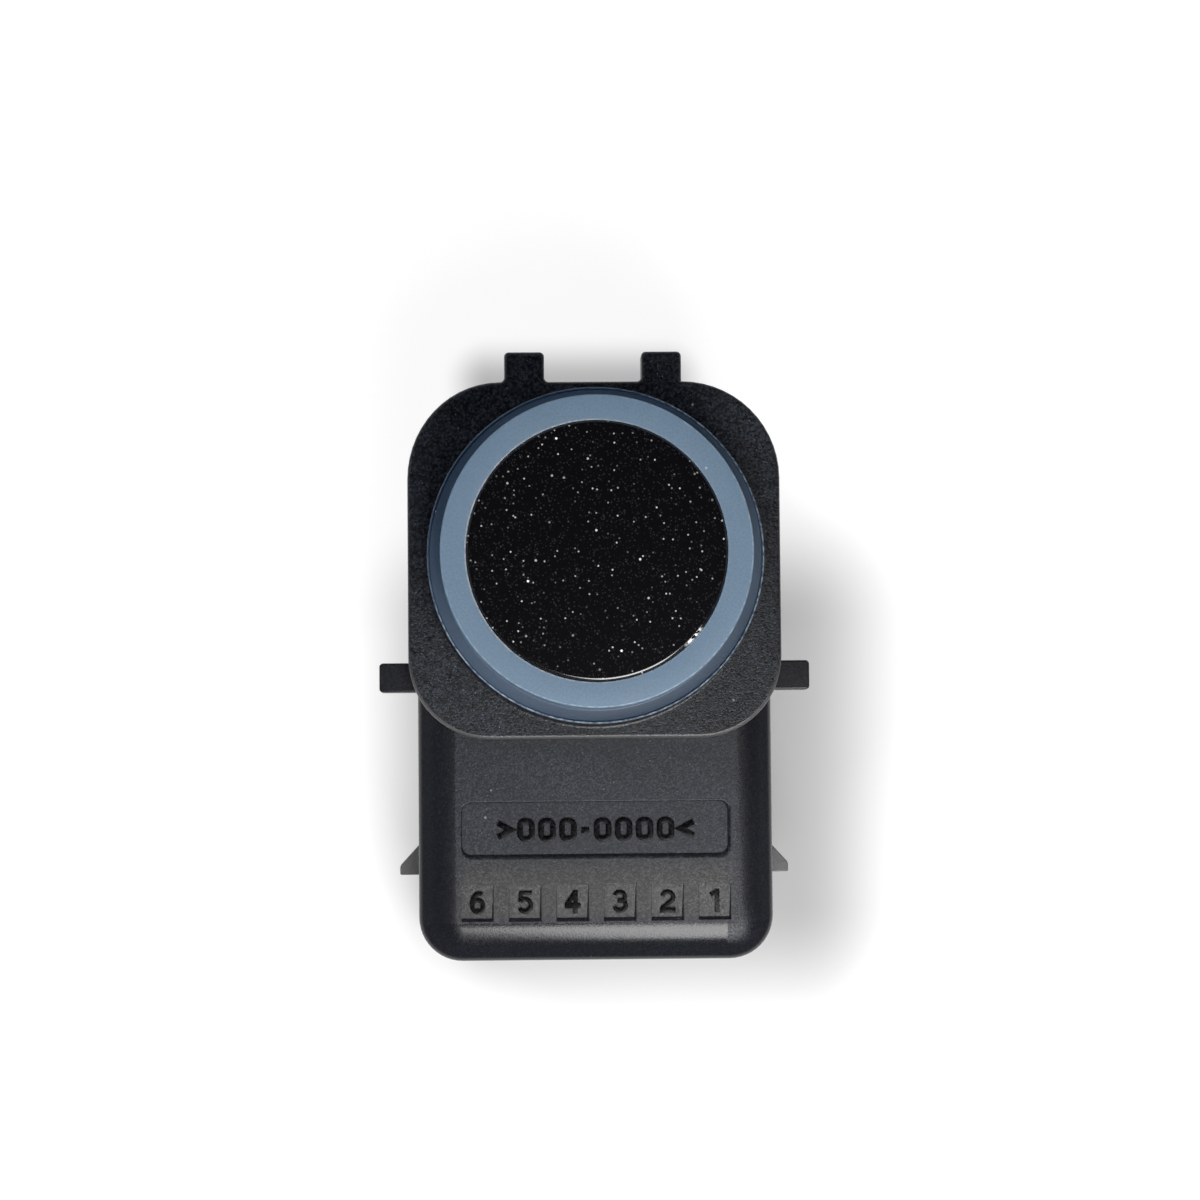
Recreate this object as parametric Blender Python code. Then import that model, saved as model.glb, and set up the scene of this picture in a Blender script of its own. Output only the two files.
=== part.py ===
"""Ultrasonic parking sensor with its connector socket at the rear.

The sensor stands on the flat rear rim of its housing and looks up along +Z. Every piece is
drawn round the sensing axis, and one empty then puts that axis in its place over the origin,
which lies under the middle of the sensor's outline. Sizes below are in millimetres.
"""

import math

import bmesh
import bpy
from mathutils import Matrix, Vector

MM = 0.001

# How closely two neighbouring pieces sit, and how finely round shapes are cut.
FIT = 0.1
ROUND_STEPS = 64
SMALL_ROUND_STEPS = 24
CORNER_STEPS = 5

# Rear housing: the long body, seen from the sensing side.
BODY_WIDTH = 22.7
BODY_TOP = 10.7
BODY_BOTTOM = 25.5
BODY_DEPTH = 14.5
BODY_TOP_CORNER = 5.5
BODY_BOTTOM_CORNER = 2.8
BODY_EDGE_FILLET = 2.4
BODY_FILLET_STEPS = 5
BODY_CORNER_STEPS = 8
SIDE_WALL = 1.9
END_WALL = 1.6

# Raised seat on the body that carries the bezel's flange.
SEAT_WIDTH = 22.2
SEAT_RISE = 0.15
SEAT_INSET = 0.35

# Round pocket for the bezel's spigot, and the wall between it and the potting well.
POCKET_RADIUS = 10.0
POCKET_DEPTH = 1.5
PARTITION = 1.8
LEAD_HOLE_RADIUS = 5.6

# Potting well behind the sensing head, open to the rear.
WELL_CORNER = 1.2
WELL_TO_SOCKET_WALL = 1.6
TERMINAL_BAY_LENGTH = 2.2
TERMINAL_BAY_HEIGHT = 1.4
TERMINAL_BAY_STEP = 0.2
POST_RADIUS = 0.8
POST_INSET = 1.8

# Connector socket in the lower body, open to the rear.
SOCKET_WIDTH = 17.5
SOCKET_HEIGHT = 9.2
SOCKET_DEPTH = 10.9
SOCKET_CORNER = 1.0
KEY_RIB_WIDTH = 1.0
KEY_RIB_HEIGHT = 0.6
KEY_RIB_OFFSET = 2.6
LATCH_WINDOW_WIDTH = 6.4
LATCH_WINDOW_LOW = 2.4
LATCH_WINDOW_HIGH = 5.2

# Side tabs under the flange, and the barbs on the lower body's sides.
SIDE_TAB_SPAN = 27.54
SIDE_TAB_HEIGHT = 1.88
SIDE_TAB_THICKNESS = 1.7
SIDE_TAB_DROP = 0.1
SIDE_TAB_BELOW_AXIS = 7.37
SIDE_TAB_CORNER = 0.25
BARB_SPAN = 25.44
BARB_START = 18.0
BARB_PEAK = 19.5
BARB_CATCH = 20.1
BARB_MIDDLE = 7.5
BARB_THICKNESS = 3.0
BARB_TIP_RADIUS = 0.2

# Recessed plate and the row of wedge pockets, one for each terminal.
PLATE_WIDTH = 17.1
PLATE_HEIGHT = 3.52
PLATE_BELOW_AXIS = 17.16
PLATE_CORNER = 0.58
PLATE_DEPTH = 0.32
MARK_WIDTH = 2.05
MARK_TOP = 20.64
MARK_BOTTOM = 22.97
MARK_START = 0.07
MARK_DEPTH = 0.32

# Front bezel: rounded square flange, round collar, top tabs and a spigot into the housing.
FLANGE_WIDTH = 23.7
FLANGE_TOP = 11.37
FLANGE_BOTTOM = 11.37
FLANGE_THICKNESS = 1.75
FLANGE_TOP_CORNER = 6.2
FLANGE_BOTTOM_CORNER = 5.2
FLANGE_EDGE = 0.22
TOP_TAB_SPACING = 8.74
TOP_TAB_WIDTH = 2.55
TOP_TAB_LENGTH = 1.91
TOP_TAB_TIP = 0.3
TOP_TAB_ROOT = 0.3
COLLAR_RADIUS = 10.5
COLLAR_HEIGHT = 3.5
COLLAR_EDGE = 0.2
COLLAR_WALL = 1.5

# Silicone decoupling ring: a sleeve round the pot, and a skirt on the collar.
RING_FACE_WIDTH = 1.5
RING_HEIGHT = 7.9
RING_EDGE = 0.12
SKIRT_THICKNESS = 0.45
SKIRT_LIP = 0.16
SKIRT_LIP_WIDTH = 0.3
RING_FLOOR = 0.8
RING_FLOOR_OVERLAP = 0.8

# Membrane pot: an aluminium cup whose closed end is the sensing face.
POT_RADIUS = 8.0
POT_PROUD = 0.1
POT_RIM = 0.4
POT_MEMBRANE = 0.75
POT_FOOT_RADIUS = 8.4
POT_FOOT_HEIGHT = 1.2
POT_HOLLOW_LENGTH = 13.6
POT_HOLLOW_WIDTH = 9.0

# Inside the pot.
PIEZO_RADIUS = 3.5
PIEZO_THICKNESS = 0.35
LEAD_RADIUS = 0.2
LEAD_BESIDE_PIEZO = 1.5
FOAM_THICKNESS = 4.0
FILLER_THICKNESS = 3.6
LEAD_PAD_SPACING = 2.54
LEAD_POINTS = 14

# Circuit board in the well, and what it carries on its rear side.
BOARD_THICKNESS = 0.8
BOARD_GAP = 0.4
BOARD_BELOW_PARTITION = 2.4
BOARD_CORNER = 0.8
CORE_RADIUS = 3.0
CORE_HEIGHT = 4.2
CORE_PLATE = 0.8
CORE_POST_RADIUS = 1.1
WINDING_RADIUS = 2.6
CORE_ACROSS = -4.4
CORE_DOWN = 9.05
POTTING_RECESS = 1.0
POTTING_GAP = 0.3

# Soldered parts: name, place across and down from the middle of the board's upper edge, then
# length, width and height.
BOARD_PARTS = (
    ("driver_chip", (4.2, 7.95), (5.0, 5.0, 0.9)),
    ("storage_capacitor", (4.4, 13.95), (3.2, 2.5, 2.0)),
    ("tuning_capacitor", (-3.6, 3.75), (2.0, 1.25, 1.25)),
    ("filter_capacitor", (-0.6, 15.15), (2.0, 1.25, 1.25)),
    ("bleed_resistor", (-4.8, 15.95), (2.0, 1.25, 0.6)),
)
SOLDERED_EDGE = 0.12

# Terminals: bent pins from the socket through the housing to the board.
TERMINAL_COUNT = 6
TERMINAL_PITCH = 3.03
TERMINAL_SIZE = 0.64
TERMINAL_RECESS = 4.6
TERMINAL_COVER = 0.5
TERMINAL_BEND = 0.3
TERMINAL_TAIL = 0.6
TERMINAL_HOLE_GAP = 0.12

# Heights above the rear rim that follow from the sizes above.
SEAT_TOP = BODY_DEPTH + SEAT_RISE
FLANGE_BACK = SEAT_TOP + FIT
FLANGE_FRONT = FLANGE_BACK + FLANGE_THICKNESS
POCKET_FLOOR = BODY_DEPTH - POCKET_DEPTH
WELL_CEILING = POCKET_FLOOR - PARTITION
COLLAR_TOP = FLANGE_FRONT + COLLAR_HEIGHT
RING_TOP = FLANGE_FRONT + RING_HEIGHT
RING_BACK = POCKET_FLOOR + FIT
POT_TOP = RING_TOP + POT_PROUD
POT_BACK = RING_BACK + RING_FLOOR + FIT
MEMBRANE_BACK = POT_TOP - POT_MEMBRANE
PIEZO_BACK = MEMBRANE_BACK - FIT - PIEZO_THICKNESS
FOAM_BACK = PIEZO_BACK - FIT - FOAM_THICKNESS
FILLER_BACK = FOAM_BACK - FIT - FILLER_THICKNESS
BOARD_FRONT = WELL_CEILING - BOARD_BELOW_PARTITION
BOARD_BACK = BOARD_FRONT - BOARD_THICKNESS
CORE_FRONT = BOARD_BACK - FIT
CORE_BACK = CORE_FRONT - CORE_HEIGHT
POTTING_FRONT = CORE_BACK - POTTING_GAP
TERMINAL_LEVEL = SOCKET_DEPTH + TERMINAL_COVER + TERMINAL_SIZE / 2

# Places along the body, measured up from the sensing axis.
SOCKET_LOW = -BODY_BOTTOM + END_WALL
SOCKET_HIGH = SOCKET_LOW + SOCKET_HEIGHT
SOCKET_MIDDLE = (SOCKET_LOW + SOCKET_HIGH) / 2
WELL_LOW = SOCKET_HIGH + WELL_TO_SOCKET_WALL
WELL_HIGH = BODY_TOP - SIDE_WALL
WELL_WIDTH = BODY_WIDTH - 2 * SIDE_WALL
BAY_HIGH = WELL_LOW + TERMINAL_BAY_LENGTH
TERMINAL_ROW = (WELL_LOW + BAY_HIGH) / 2
BOARD_LOW = WELL_LOW + BOARD_GAP
BOARD_HIGH = WELL_HIGH - BOARD_GAP
RING_SLEEVE_RADIUS = COLLAR_RADIUS - COLLAR_WALL - FIT
BORE_RADIUS = RING_SLEEVE_RADIUS + FIT
RING_INNER_RADIUS = POT_RADIUS + FIT
RING_FACE_RADIUS = RING_INNER_RADIUS + RING_FACE_WIDTH

# The sensing axis stands off the origin by as much as centres the outline on it.
AXIS_PLACE = (BODY_BOTTOM - FLANGE_TOP - TOP_TAB_LENGTH) / 2

# How far a cutter runs past the face that it opens.
PAST = 1.0


def clear_scene():
    """Remove whatever the scene holds."""
    for old in list(bpy.data.objects):
        bpy.data.objects.remove(old, do_unlink=True)


def material(name, colour, roughness, metallic=0.0):
    """One plain finish."""
    finish = bpy.data.materials.new(name)
    finish.use_nodes = True
    shader = finish.node_tree.nodes["Principled BSDF"]
    shader.inputs["Base Color"].default_value = (*colour, 1.0)
    shader.inputs["Roughness"].default_value = roughness
    shader.inputs["Metallic"].default_value = metallic
    return finish


def filleted(corners, steps=CORNER_STEPS):
    """Outline through corners of (x, y, radius), each rounded by an arc tangent to its sides."""
    outline = []
    for index, (x, y, radius) in enumerate(corners):
        corner = Vector((x, y))
        if radius <= 0:
            outline.append(corner)
            continue
        back = (Vector(corners[index - 1][:2]) - corner).normalized()
        ahead = (Vector(corners[(index + 1) % len(corners)][:2]) - corner).normalized()
        half_angle = back.angle(ahead) / 2
        centre = corner + (back + ahead).normalized() * radius / math.sin(half_angle)
        first = corner + back * radius / math.tan(half_angle) - centre
        last = corner + ahead * radius / math.tan(half_angle) - centre
        turn = math.atan2(first.x * last.y - first.y * last.x, first.dot(last))
        for step in range(steps + 1):
            outline.append(centre + Matrix.Rotation(turn * step / steps, 2) @ first)
    return outline


def box_outline(width, low, high, radius, centre=0.0, steps=CORNER_STEPS):
    """Rounded rectangle of one width, from low to high."""
    left = centre - width / 2
    right = centre + width / 2
    corners = ((left, low, radius), (right, low, radius), (right, high, radius), (left, high, radius))
    return filleted(corners, steps)


def circle_outline(radius, centre=(0.0, 0.0), steps=ROUND_STEPS):
    """Circle as a polygon with its first corner on +X."""
    turns = [2 * math.pi * step / steps for step in range(steps)]
    return [Vector(centre) + radius * Vector((math.cos(turn), math.sin(turn))) for turn in turns]


def prism(outline, low, high):
    """Outline in X and Y, extruded from height low to height high."""
    mesh = bmesh.new()
    base = mesh.faces.new([mesh.verts.new((x, y, low)) for x, y in outline])
    raised = bmesh.ops.extrude_face_region(mesh, geom=[base])
    lifted = [item for item in raised["geom"] if isinstance(item, bmesh.types.BMVert)]
    bmesh.ops.translate(mesh, vec=(0, 0, high - low), verts=lifted)
    bmesh.ops.recalc_face_normals(mesh, faces=mesh.faces)
    return mesh


def side_prism(outline, left, right):
    """Outline in Y and Z, extruded along X from left to right."""
    mesh = prism(outline, left, right)
    side_on = Matrix(((0, 0, 1), (1, 0, 0), (0, 1, 0)))
    bmesh.ops.transform(mesh, matrix=side_on.to_4x4(), verts=mesh.verts)
    return mesh


def turned(profile, closed=True, steps=ROUND_STEPS):
    """Profile of (radius, height) spun round the Z axis; an open one runs from axis to axis."""
    mesh = bmesh.new()
    verts = [mesh.verts.new((radius, 0, height)) for radius, height in profile]
    edges = [mesh.edges.new(pair) for pair in zip(verts, verts[1:])]
    if closed:
        edges.append(mesh.edges.new((verts[-1], verts[0])))
    bmesh.ops.spin(
        mesh, geom=verts + edges, cent=(0, 0, 0), axis=(0, 0, 1),
        angle=2 * math.pi, steps=steps, use_merge=True,
    )
    bmesh.ops.remove_doubles(mesh, verts=mesh.verts, dist=0.001)
    bmesh.ops.recalc_face_normals(mesh, faces=mesh.faces)
    return mesh


def round_top_edges(mesh, height, radius, steps):
    """Round the edges that lie at one height."""
    rim = [edge for edge in mesh.edges if all(abs(vert.co.z - height) < 0.001 for vert in edge.verts)]
    bmesh.ops.bevel(
        mesh, geom=rim, offset=radius, offset_type="OFFSET", segments=steps,
        profile=0.5, affect="EDGES", clamp_overlap=True, material=-1,
    )
    bmesh.ops.recalc_face_normals(mesh, faces=mesh.faces)


def gather(meshes):
    """Several separate bodies in one mesh."""
    whole = bmesh.new()
    for mesh in meshes:
        part = bpy.data.meshes.new("part")
        mesh.to_mesh(part)
        mesh.free()
        whole.from_mesh(part)
        bpy.data.meshes.remove(part)
    return whole


def place(name, mesh, finish, axis):
    """Make an object of a millimetre mesh, shade it and hang it on the sensing axis."""
    bmesh.ops.scale(mesh, vec=(MM, MM, MM), verts=mesh.verts)
    data = bpy.data.meshes.new(name)
    mesh.to_mesh(data)
    mesh.free()
    data.shade_smooth()
    data.set_sharp_from_angle(angle=math.radians(32))
    piece = bpy.data.objects.new(name, data)
    bpy.context.scene.collection.objects.link(piece)
    piece.data.materials.append(finish)
    piece.parent = axis
    return piece


def combine(piece, name, mesh, operation, axis):
    """Join a mesh to a piece, or cut it out, with a Boolean that stays on the piece."""
    tool = place(name, mesh, piece.data.materials[0], axis)
    tool.hide_render = True
    tool.display_type = "WIRE"
    step = piece.modifiers.new(name, "BOOLEAN")
    step.operation = operation
    step.solver = "EXACT"
    step.object = tool


def terminal_outline(grow, tip, tail):
    """Side view of a terminal: up out of the socket, across to the board and down through it."""
    half = TERMINAL_SIZE / 2 + grow
    outer = TERMINAL_BEND + TERMINAL_SIZE + grow
    inner = max(TERMINAL_BEND - grow, 0.0)
    socket_side = SOCKET_MIDDLE
    board_side = TERMINAL_ROW
    corners = (
        (socket_side - half, tip, 0),
        (socket_side + half, tip, 0),
        (socket_side + half, TERMINAL_LEVEL - half, inner),
        (board_side - half, TERMINAL_LEVEL - half, inner),
        (board_side - half, tail, 0),
        (board_side + half, tail, 0),
        (board_side + half, TERMINAL_LEVEL + half, outer),
        (socket_side - half, TERMINAL_LEVEL + half, outer),
    )
    return filleted(corners, steps=3)


def terminal_places():
    """X of each terminal, from terminal 1 at the right to the last at the left."""
    first = (TERMINAL_COUNT - 1) / 2 * TERMINAL_PITCH
    return [first - number * TERMINAL_PITCH for number in range(TERMINAL_COUNT)]


def post_places():
    """Corners of the board where the housing's posts stand on it."""
    reach = WELL_WIDTH / 2 - POST_INSET
    upper = WELL_HIGH - POST_INSET
    lower = BAY_HIGH + POST_INSET
    return [(side * reach, level) for side in (-1, 1) for level in (lower, upper)]


def rear_housing(plastic, axis):
    """The housing moulding, from its outer form to its hollows and small features."""
    half = BODY_WIDTH / 2
    outline = filleted((
        (-half, -BODY_BOTTOM, BODY_BOTTOM_CORNER),
        (half, -BODY_BOTTOM, BODY_BOTTOM_CORNER),
        (half, BODY_TOP, BODY_TOP_CORNER),
        (-half, BODY_TOP, BODY_TOP_CORNER),
    ), steps=BODY_CORNER_STEPS)
    body = prism(outline, 0, BODY_DEPTH)
    round_top_edges(body, BODY_DEPTH, BODY_EDGE_FILLET, BODY_FILLET_STEPS)
    housing = place("rear_housing", body, plastic, axis)

    seat_reach = FLANGE_BOTTOM - SEAT_INSET
    seat_corner = BODY_TOP_CORNER - SEAT_INSET
    seat = box_outline(SEAT_WIDTH, -seat_reach, BODY_TOP - SEAT_INSET, seat_corner, steps=BODY_CORNER_STEPS)
    seat_root = BODY_DEPTH - BODY_EDGE_FILLET - PAST
    combine(housing, "seat", prism(seat, seat_root, SEAT_TOP), "UNION", axis)
    add_side_tabs(housing, axis)
    add_barbs(housing, axis)
    cut_hollows(housing, axis)
    cut_terminal_slots(housing, axis)
    cut_face_marks(housing, axis)
    posts = [
        prism(circle_outline(POST_RADIUS, spot, SMALL_ROUND_STEPS), BOARD_FRONT + FIT, WELL_CEILING + PAST)
        for spot in post_places()
    ]
    combine(housing, "board_posts", gather(posts), "UNION", axis)


def add_side_tabs(housing, axis):
    """A flat tab on each side, just under the flange."""
    top = FLANGE_BACK - SIDE_TAB_DROP - FIT
    low = -SIDE_TAB_BELOW_AXIS - SIDE_TAB_HEIGHT / 2
    tabs = prism(
        box_outline(SIDE_TAB_SPAN, low, low + SIDE_TAB_HEIGHT, SIDE_TAB_CORNER, steps=3),
        top - SIDE_TAB_THICKNESS, top,
    )
    combine(housing, "side_tabs", tabs, "UNION", axis)


def add_barbs(housing, axis):
    """A ramp with a flat catch on each side, which snaps behind the holder."""
    root = BODY_WIDTH / 2 - SIDE_WALL / 2
    slope = (BARB_SPAN - BODY_WIDTH) / 2 / (BARB_PEAK - BARB_START)
    ramp_root = BARB_START - (BODY_WIDTH / 2 - root) / slope
    low = BARB_MIDDLE - BARB_THICKNESS / 2
    barbs = []
    for side in (-1, 1):
        outline = filleted((
            (side * root, -ramp_root, 0),
            (side * BARB_SPAN / 2, -BARB_PEAK, BARB_TIP_RADIUS),
            (side * BARB_SPAN / 2, -BARB_CATCH, BARB_TIP_RADIUS),
            (side * root, -BARB_CATCH, 0),
        ), steps=3)
        barbs.append(prism(outline, low, low + BARB_THICKNESS))
    combine(housing, "barbs", gather(barbs), "UNION", axis)


def cut_hollows(housing, axis):
    """Potting well, terminal bay, connector socket, spigot pocket, lead hole and latch window."""
    well = box_outline(WELL_WIDTH, WELL_LOW, WELL_HIGH, WELL_CORNER)
    combine(housing, "well", prism(well, -PAST, WELL_CEILING), "DIFFERENCE", axis)

    bay_width = WELL_WIDTH - 2 * TERMINAL_BAY_STEP
    bay = box_outline(bay_width, WELL_LOW + TERMINAL_BAY_STEP, BAY_HIGH, 0)
    bay_top = WELL_CEILING + TERMINAL_BAY_HEIGHT
    combine(housing, "terminal_bay", prism(bay, WELL_CEILING - PAST, bay_top), "DIFFERENCE", axis)

    combine(housing, "socket", prism(socket_outline(), -PAST, SOCKET_DEPTH), "DIFFERENCE", axis)

    pocket = prism(circle_outline(POCKET_RADIUS), POCKET_FLOOR, SEAT_TOP + PAST)
    combine(housing, "spigot_pocket", pocket, "DIFFERENCE", axis)

    hole = prism(circle_outline(LEAD_HOLE_RADIUS), WELL_CEILING - PAST, POCKET_FLOOR + PAST)
    combine(housing, "lead_hole", hole, "DIFFERENCE", axis)

    window = box_outline(LATCH_WINDOW_WIDTH, -BODY_BOTTOM - PAST, SOCKET_LOW + PAST, 0)
    window = prism(window, LATCH_WINDOW_LOW, LATCH_WINDOW_HIGH)
    combine(housing, "latch_window", window, "DIFFERENCE", axis)


def socket_outline():
    """Mouth of the socket, with a key rib at each side below its middle."""
    half = SOCKET_WIDTH / 2
    rib = half - KEY_RIB_HEIGHT
    rib_low = SOCKET_MIDDLE - KEY_RIB_OFFSET - KEY_RIB_WIDTH / 2
    rib_high = rib_low + KEY_RIB_WIDTH
    right = (
        (half, SOCKET_LOW, SOCKET_CORNER),
        (half, rib_low, 0),
        (rib, rib_low, 0),
        (rib, rib_high, 0),
        (half, rib_high, 0),
        (half, SOCKET_HIGH, SOCKET_CORNER),
    )
    left = [(-x, y, radius) for x, y, radius in reversed(right)]
    return filleted((*right, *left))


def cut_terminal_slots(housing, axis):
    """A passage for each terminal, from the socket's floor into the terminal bay."""
    outline = terminal_outline(FIT, SOCKET_DEPTH - PAST, WELL_CEILING - PAST)
    reach = TERMINAL_SIZE / 2 + FIT
    slots = [side_prism(outline, x - reach, x + reach) for x in terminal_places()]
    combine(housing, "terminal_slots", gather(slots), "DIFFERENCE", axis)


def cut_face_marks(housing, axis):
    """The recessed plate, and under it a wedge pocket for each terminal's number."""
    plate_low = -PLATE_BELOW_AXIS - PLATE_HEIGHT / 2
    plate = box_outline(PLATE_WIDTH, plate_low, plate_low + PLATE_HEIGHT, PLATE_CORNER)
    plate = prism(plate, BODY_DEPTH - PLATE_DEPTH, BODY_DEPTH + PAST)
    combine(housing, "plate_recess", plate, "DIFFERENCE", axis)

    wedge = (
        (-MARK_TOP, BODY_DEPTH - MARK_START),
        (-MARK_BOTTOM, BODY_DEPTH - MARK_DEPTH),
        (-MARK_BOTTOM, BODY_DEPTH + PAST),
        (-MARK_TOP, BODY_DEPTH + PAST),
    )
    pockets = [side_prism(wedge, x - MARK_WIDTH / 2, x + MARK_WIDTH / 2) for x in terminal_places()]
    combine(housing, "mark_pockets", gather(pockets), "DIFFERENCE", axis)


def front_bezel(plastic, axis):
    """Flange with its top tabs, joined to the turned collar and spigot."""
    half = FLANGE_WIDTH / 2
    top_tab_tip = FLANGE_TOP + TOP_TAB_LENGTH
    corners = [
        (-half, -FLANGE_BOTTOM, FLANGE_BOTTOM_CORNER),
        (half, -FLANGE_BOTTOM, FLANGE_BOTTOM_CORNER),
        (half, FLANGE_TOP, FLANGE_TOP_CORNER),
    ]
    for middle in (TOP_TAB_SPACING / 2, -TOP_TAB_SPACING / 2):
        right = middle + TOP_TAB_WIDTH / 2
        left = middle - TOP_TAB_WIDTH / 2
        corners += [
            (right, FLANGE_TOP, TOP_TAB_ROOT),
            (right, top_tab_tip, TOP_TAB_TIP),
            (left, top_tab_tip, TOP_TAB_TIP),
            (left, FLANGE_TOP, TOP_TAB_ROOT),
        ]
    corners.append((-half, FLANGE_TOP, FLANGE_TOP_CORNER))
    flange = prism(filleted(corners, steps=6), FLANGE_BACK, FLANGE_FRONT)
    round_top_edges(flange, FLANGE_FRONT, FLANGE_EDGE, 2)
    bezel = place("front_bezel", flange, plastic, axis)

    spigot_radius = POCKET_RADIUS - FIT
    hole_radius = (BORE_RADIUS + spigot_radius) / 2
    hole = prism(circle_outline(hole_radius), FLANGE_BACK - PAST, FLANGE_FRONT + PAST)
    combine(bezel, "flange_hole", hole, "DIFFERENCE", axis)

    middle = (FLANGE_BACK + FLANGE_FRONT) / 2
    collar = filleted((
        (BORE_RADIUS, POCKET_FLOOR + FIT, 0),
        (spigot_radius, POCKET_FLOOR + FIT, COLLAR_EDGE),
        (spigot_radius, middle, 0),
        (COLLAR_RADIUS, middle, 0),
        (COLLAR_RADIUS, COLLAR_TOP, COLLAR_EDGE),
        (BORE_RADIUS, COLLAR_TOP, 0),
    ), steps=3)
    combine(bezel, "collar", turned(collar), "UNION", axis)


def decoupling_ring(silicone, axis):
    """Sleeve between pot and collar, with a face, a skirt and a floor under the pot."""
    skirt_base = COLLAR_TOP + FIT
    skirt_top = skirt_base + SKIRT_THICKNESS
    lip_radius = COLLAR_RADIUS - SKIRT_LIP_WIDTH
    groove_radius = POT_FOOT_RADIUS + FIT
    groove_top = POT_BACK + POT_FOOT_HEIGHT + FIT
    floor_top = POT_BACK - FIT
    profile = filleted((
        (RING_INNER_RADIUS, RING_TOP, RING_EDGE),
        (RING_FACE_RADIUS, RING_TOP, RING_EDGE),
        (RING_FACE_RADIUS, skirt_top, RING_EDGE),
        (lip_radius, skirt_top, 0),
        (lip_radius, skirt_top + SKIRT_LIP, 0),
        (COLLAR_RADIUS, skirt_top + SKIRT_LIP, RING_EDGE),
        (COLLAR_RADIUS, skirt_base, 0),
        (RING_SLEEVE_RADIUS, skirt_base, 0),
        (RING_SLEEVE_RADIUS, RING_BACK, RING_EDGE),
        (POT_FOOT_RADIUS - RING_FLOOR_OVERLAP, RING_BACK, 0),
        (POT_FOOT_RADIUS - RING_FLOOR_OVERLAP, floor_top, 0),
        (groove_radius, floor_top, 0),
        (groove_radius, groove_top, 0),
        (RING_INNER_RADIUS, groove_top, 0),
    ), steps=2)
    place("decoupling_ring", turned(profile), silicone, axis)


def membrane_pot(paint, axis):
    """Cup with a rounded rim, a foot at its open end and an oblong hollow."""
    profile = filleted((
        (0, POT_TOP, 0),
        (POT_RADIUS, POT_TOP, POT_RIM),
        (POT_RADIUS, POT_BACK + POT_FOOT_HEIGHT, 0),
        (POT_FOOT_RADIUS, POT_BACK + POT_FOOT_HEIGHT, 0),
        (POT_FOOT_RADIUS, POT_BACK, 0),
        (0, POT_BACK, 0),
    ), steps=4)
    pot = place("membrane_pot", turned(profile, closed=False), paint, axis)
    hollow = prism(hollow_outline(0), POT_BACK - PAST, MEMBRANE_BACK)
    combine(pot, "pot_hollow", hollow, "DIFFERENCE", axis)


def hollow_outline(gap):
    """Round-ended oblong of the pot's hollow, smaller all round by a gap."""
    width = POT_HOLLOW_LENGTH - 2 * gap
    reach = POT_HOLLOW_WIDTH / 2 - gap
    return box_outline(width, -reach, reach, reach * 0.999, steps=12)


def lead_places():
    """X of the two leads: under the disc's edge, and beside the disc on the cup's face."""
    on_disc = PIEZO_RADIUS - LEAD_RADIUS - FIT
    return {"piezo_lead_1": on_disc, "piezo_lead_2": -PIEZO_RADIUS - LEAD_BESIDE_PIEZO}


def inside_pot(finishes, axis):
    """Disc, foam and filler."""
    disc = prism(circle_outline(PIEZO_RADIUS, steps=48), PIEZO_BACK, PIEZO_BACK + PIEZO_THICKNESS)
    place("piezo_disc", disc, finishes["ceramic"], axis)

    foam_radius = lead_places()["piezo_lead_1"] - LEAD_RADIUS - FIT
    foam = prism(circle_outline(foam_radius, steps=32), FOAM_BACK, FOAM_BACK + FOAM_THICKNESS)
    place("damping_foam", foam, finishes["foam"], axis)

    filler = prism(hollow_outline(FIT), FILLER_BACK, FILLER_BACK + FILLER_THICKNESS)
    plug = place("pot_filler", filler, finishes["filler"], axis)
    holes = [
        prism(
            circle_outline(LEAD_RADIUS + FIT, (x, 0), steps=12),
            FILLER_BACK - PAST, FILLER_BACK + FILLER_THICKNESS + PAST,
        )
        for x in lead_places().values()
    ]
    combine(plug, "lead_holes", gather(holes), "DIFFERENCE", axis)


def leads(copper, axis):
    """Leads that run straight through the filler, then curve in to their pads on the board."""
    pad = LEAD_PAD_SPACING / 2
    tops = {"piezo_lead_1": PIEZO_BACK - FIT, "piezo_lead_2": MEMBRANE_BACK - FIT}
    foot = BOARD_FRONT + FIT
    for name, start in lead_places().items():
        end = math.copysign(pad, start)
        spline_points = [(start, tops[name]), (start, (tops[name] + FILLER_BACK) / 2)]
        for step in range(LEAD_POINTS + 1):
            share = step / LEAD_POINTS
            ease = share * share * (3 - 2 * share)
            height = FILLER_BACK - FIT + (foot - FILLER_BACK + FIT) * share
            spline_points.append((start + (end - start) * ease, height))
        curve = bpy.data.curves.new(name, "CURVE")
        curve.dimensions = "3D"
        curve.bevel_depth = LEAD_RADIUS * MM
        curve.bevel_resolution = 2
        curve.use_fill_caps = True
        spline = curve.splines.new("POLY")
        spline.points.add(len(spline_points) - 1)
        for point, (x, height) in zip(spline.points, spline_points):
            point.co = (x * MM, 0, height * MM, 1)
        curve.materials.append(copper)
        lead = bpy.data.objects.new(name, curve)
        bpy.context.scene.collection.objects.link(lead)
        lead.parent = axis


def circuit_board(laminate, axis):
    """Board with a square hole for each terminal."""
    width = WELL_WIDTH - 2 * BOARD_GAP
    outline = box_outline(width, BOARD_LOW, BOARD_HIGH, BOARD_CORNER)
    board = place("circuit_board", prism(outline, BOARD_BACK, BOARD_FRONT), laminate, axis)
    side = TERMINAL_SIZE + 2 * TERMINAL_HOLE_GAP
    holes = [
        prism(
            box_outline(side, TERMINAL_ROW - side / 2, TERMINAL_ROW + side / 2, 0, centre=x),
            BOARD_BACK - PAST, BOARD_FRONT + PAST,
        )
        for x in terminal_places()
    ]
    combine(board, "terminal_holes", gather(holes), "DIFFERENCE", axis)


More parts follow.
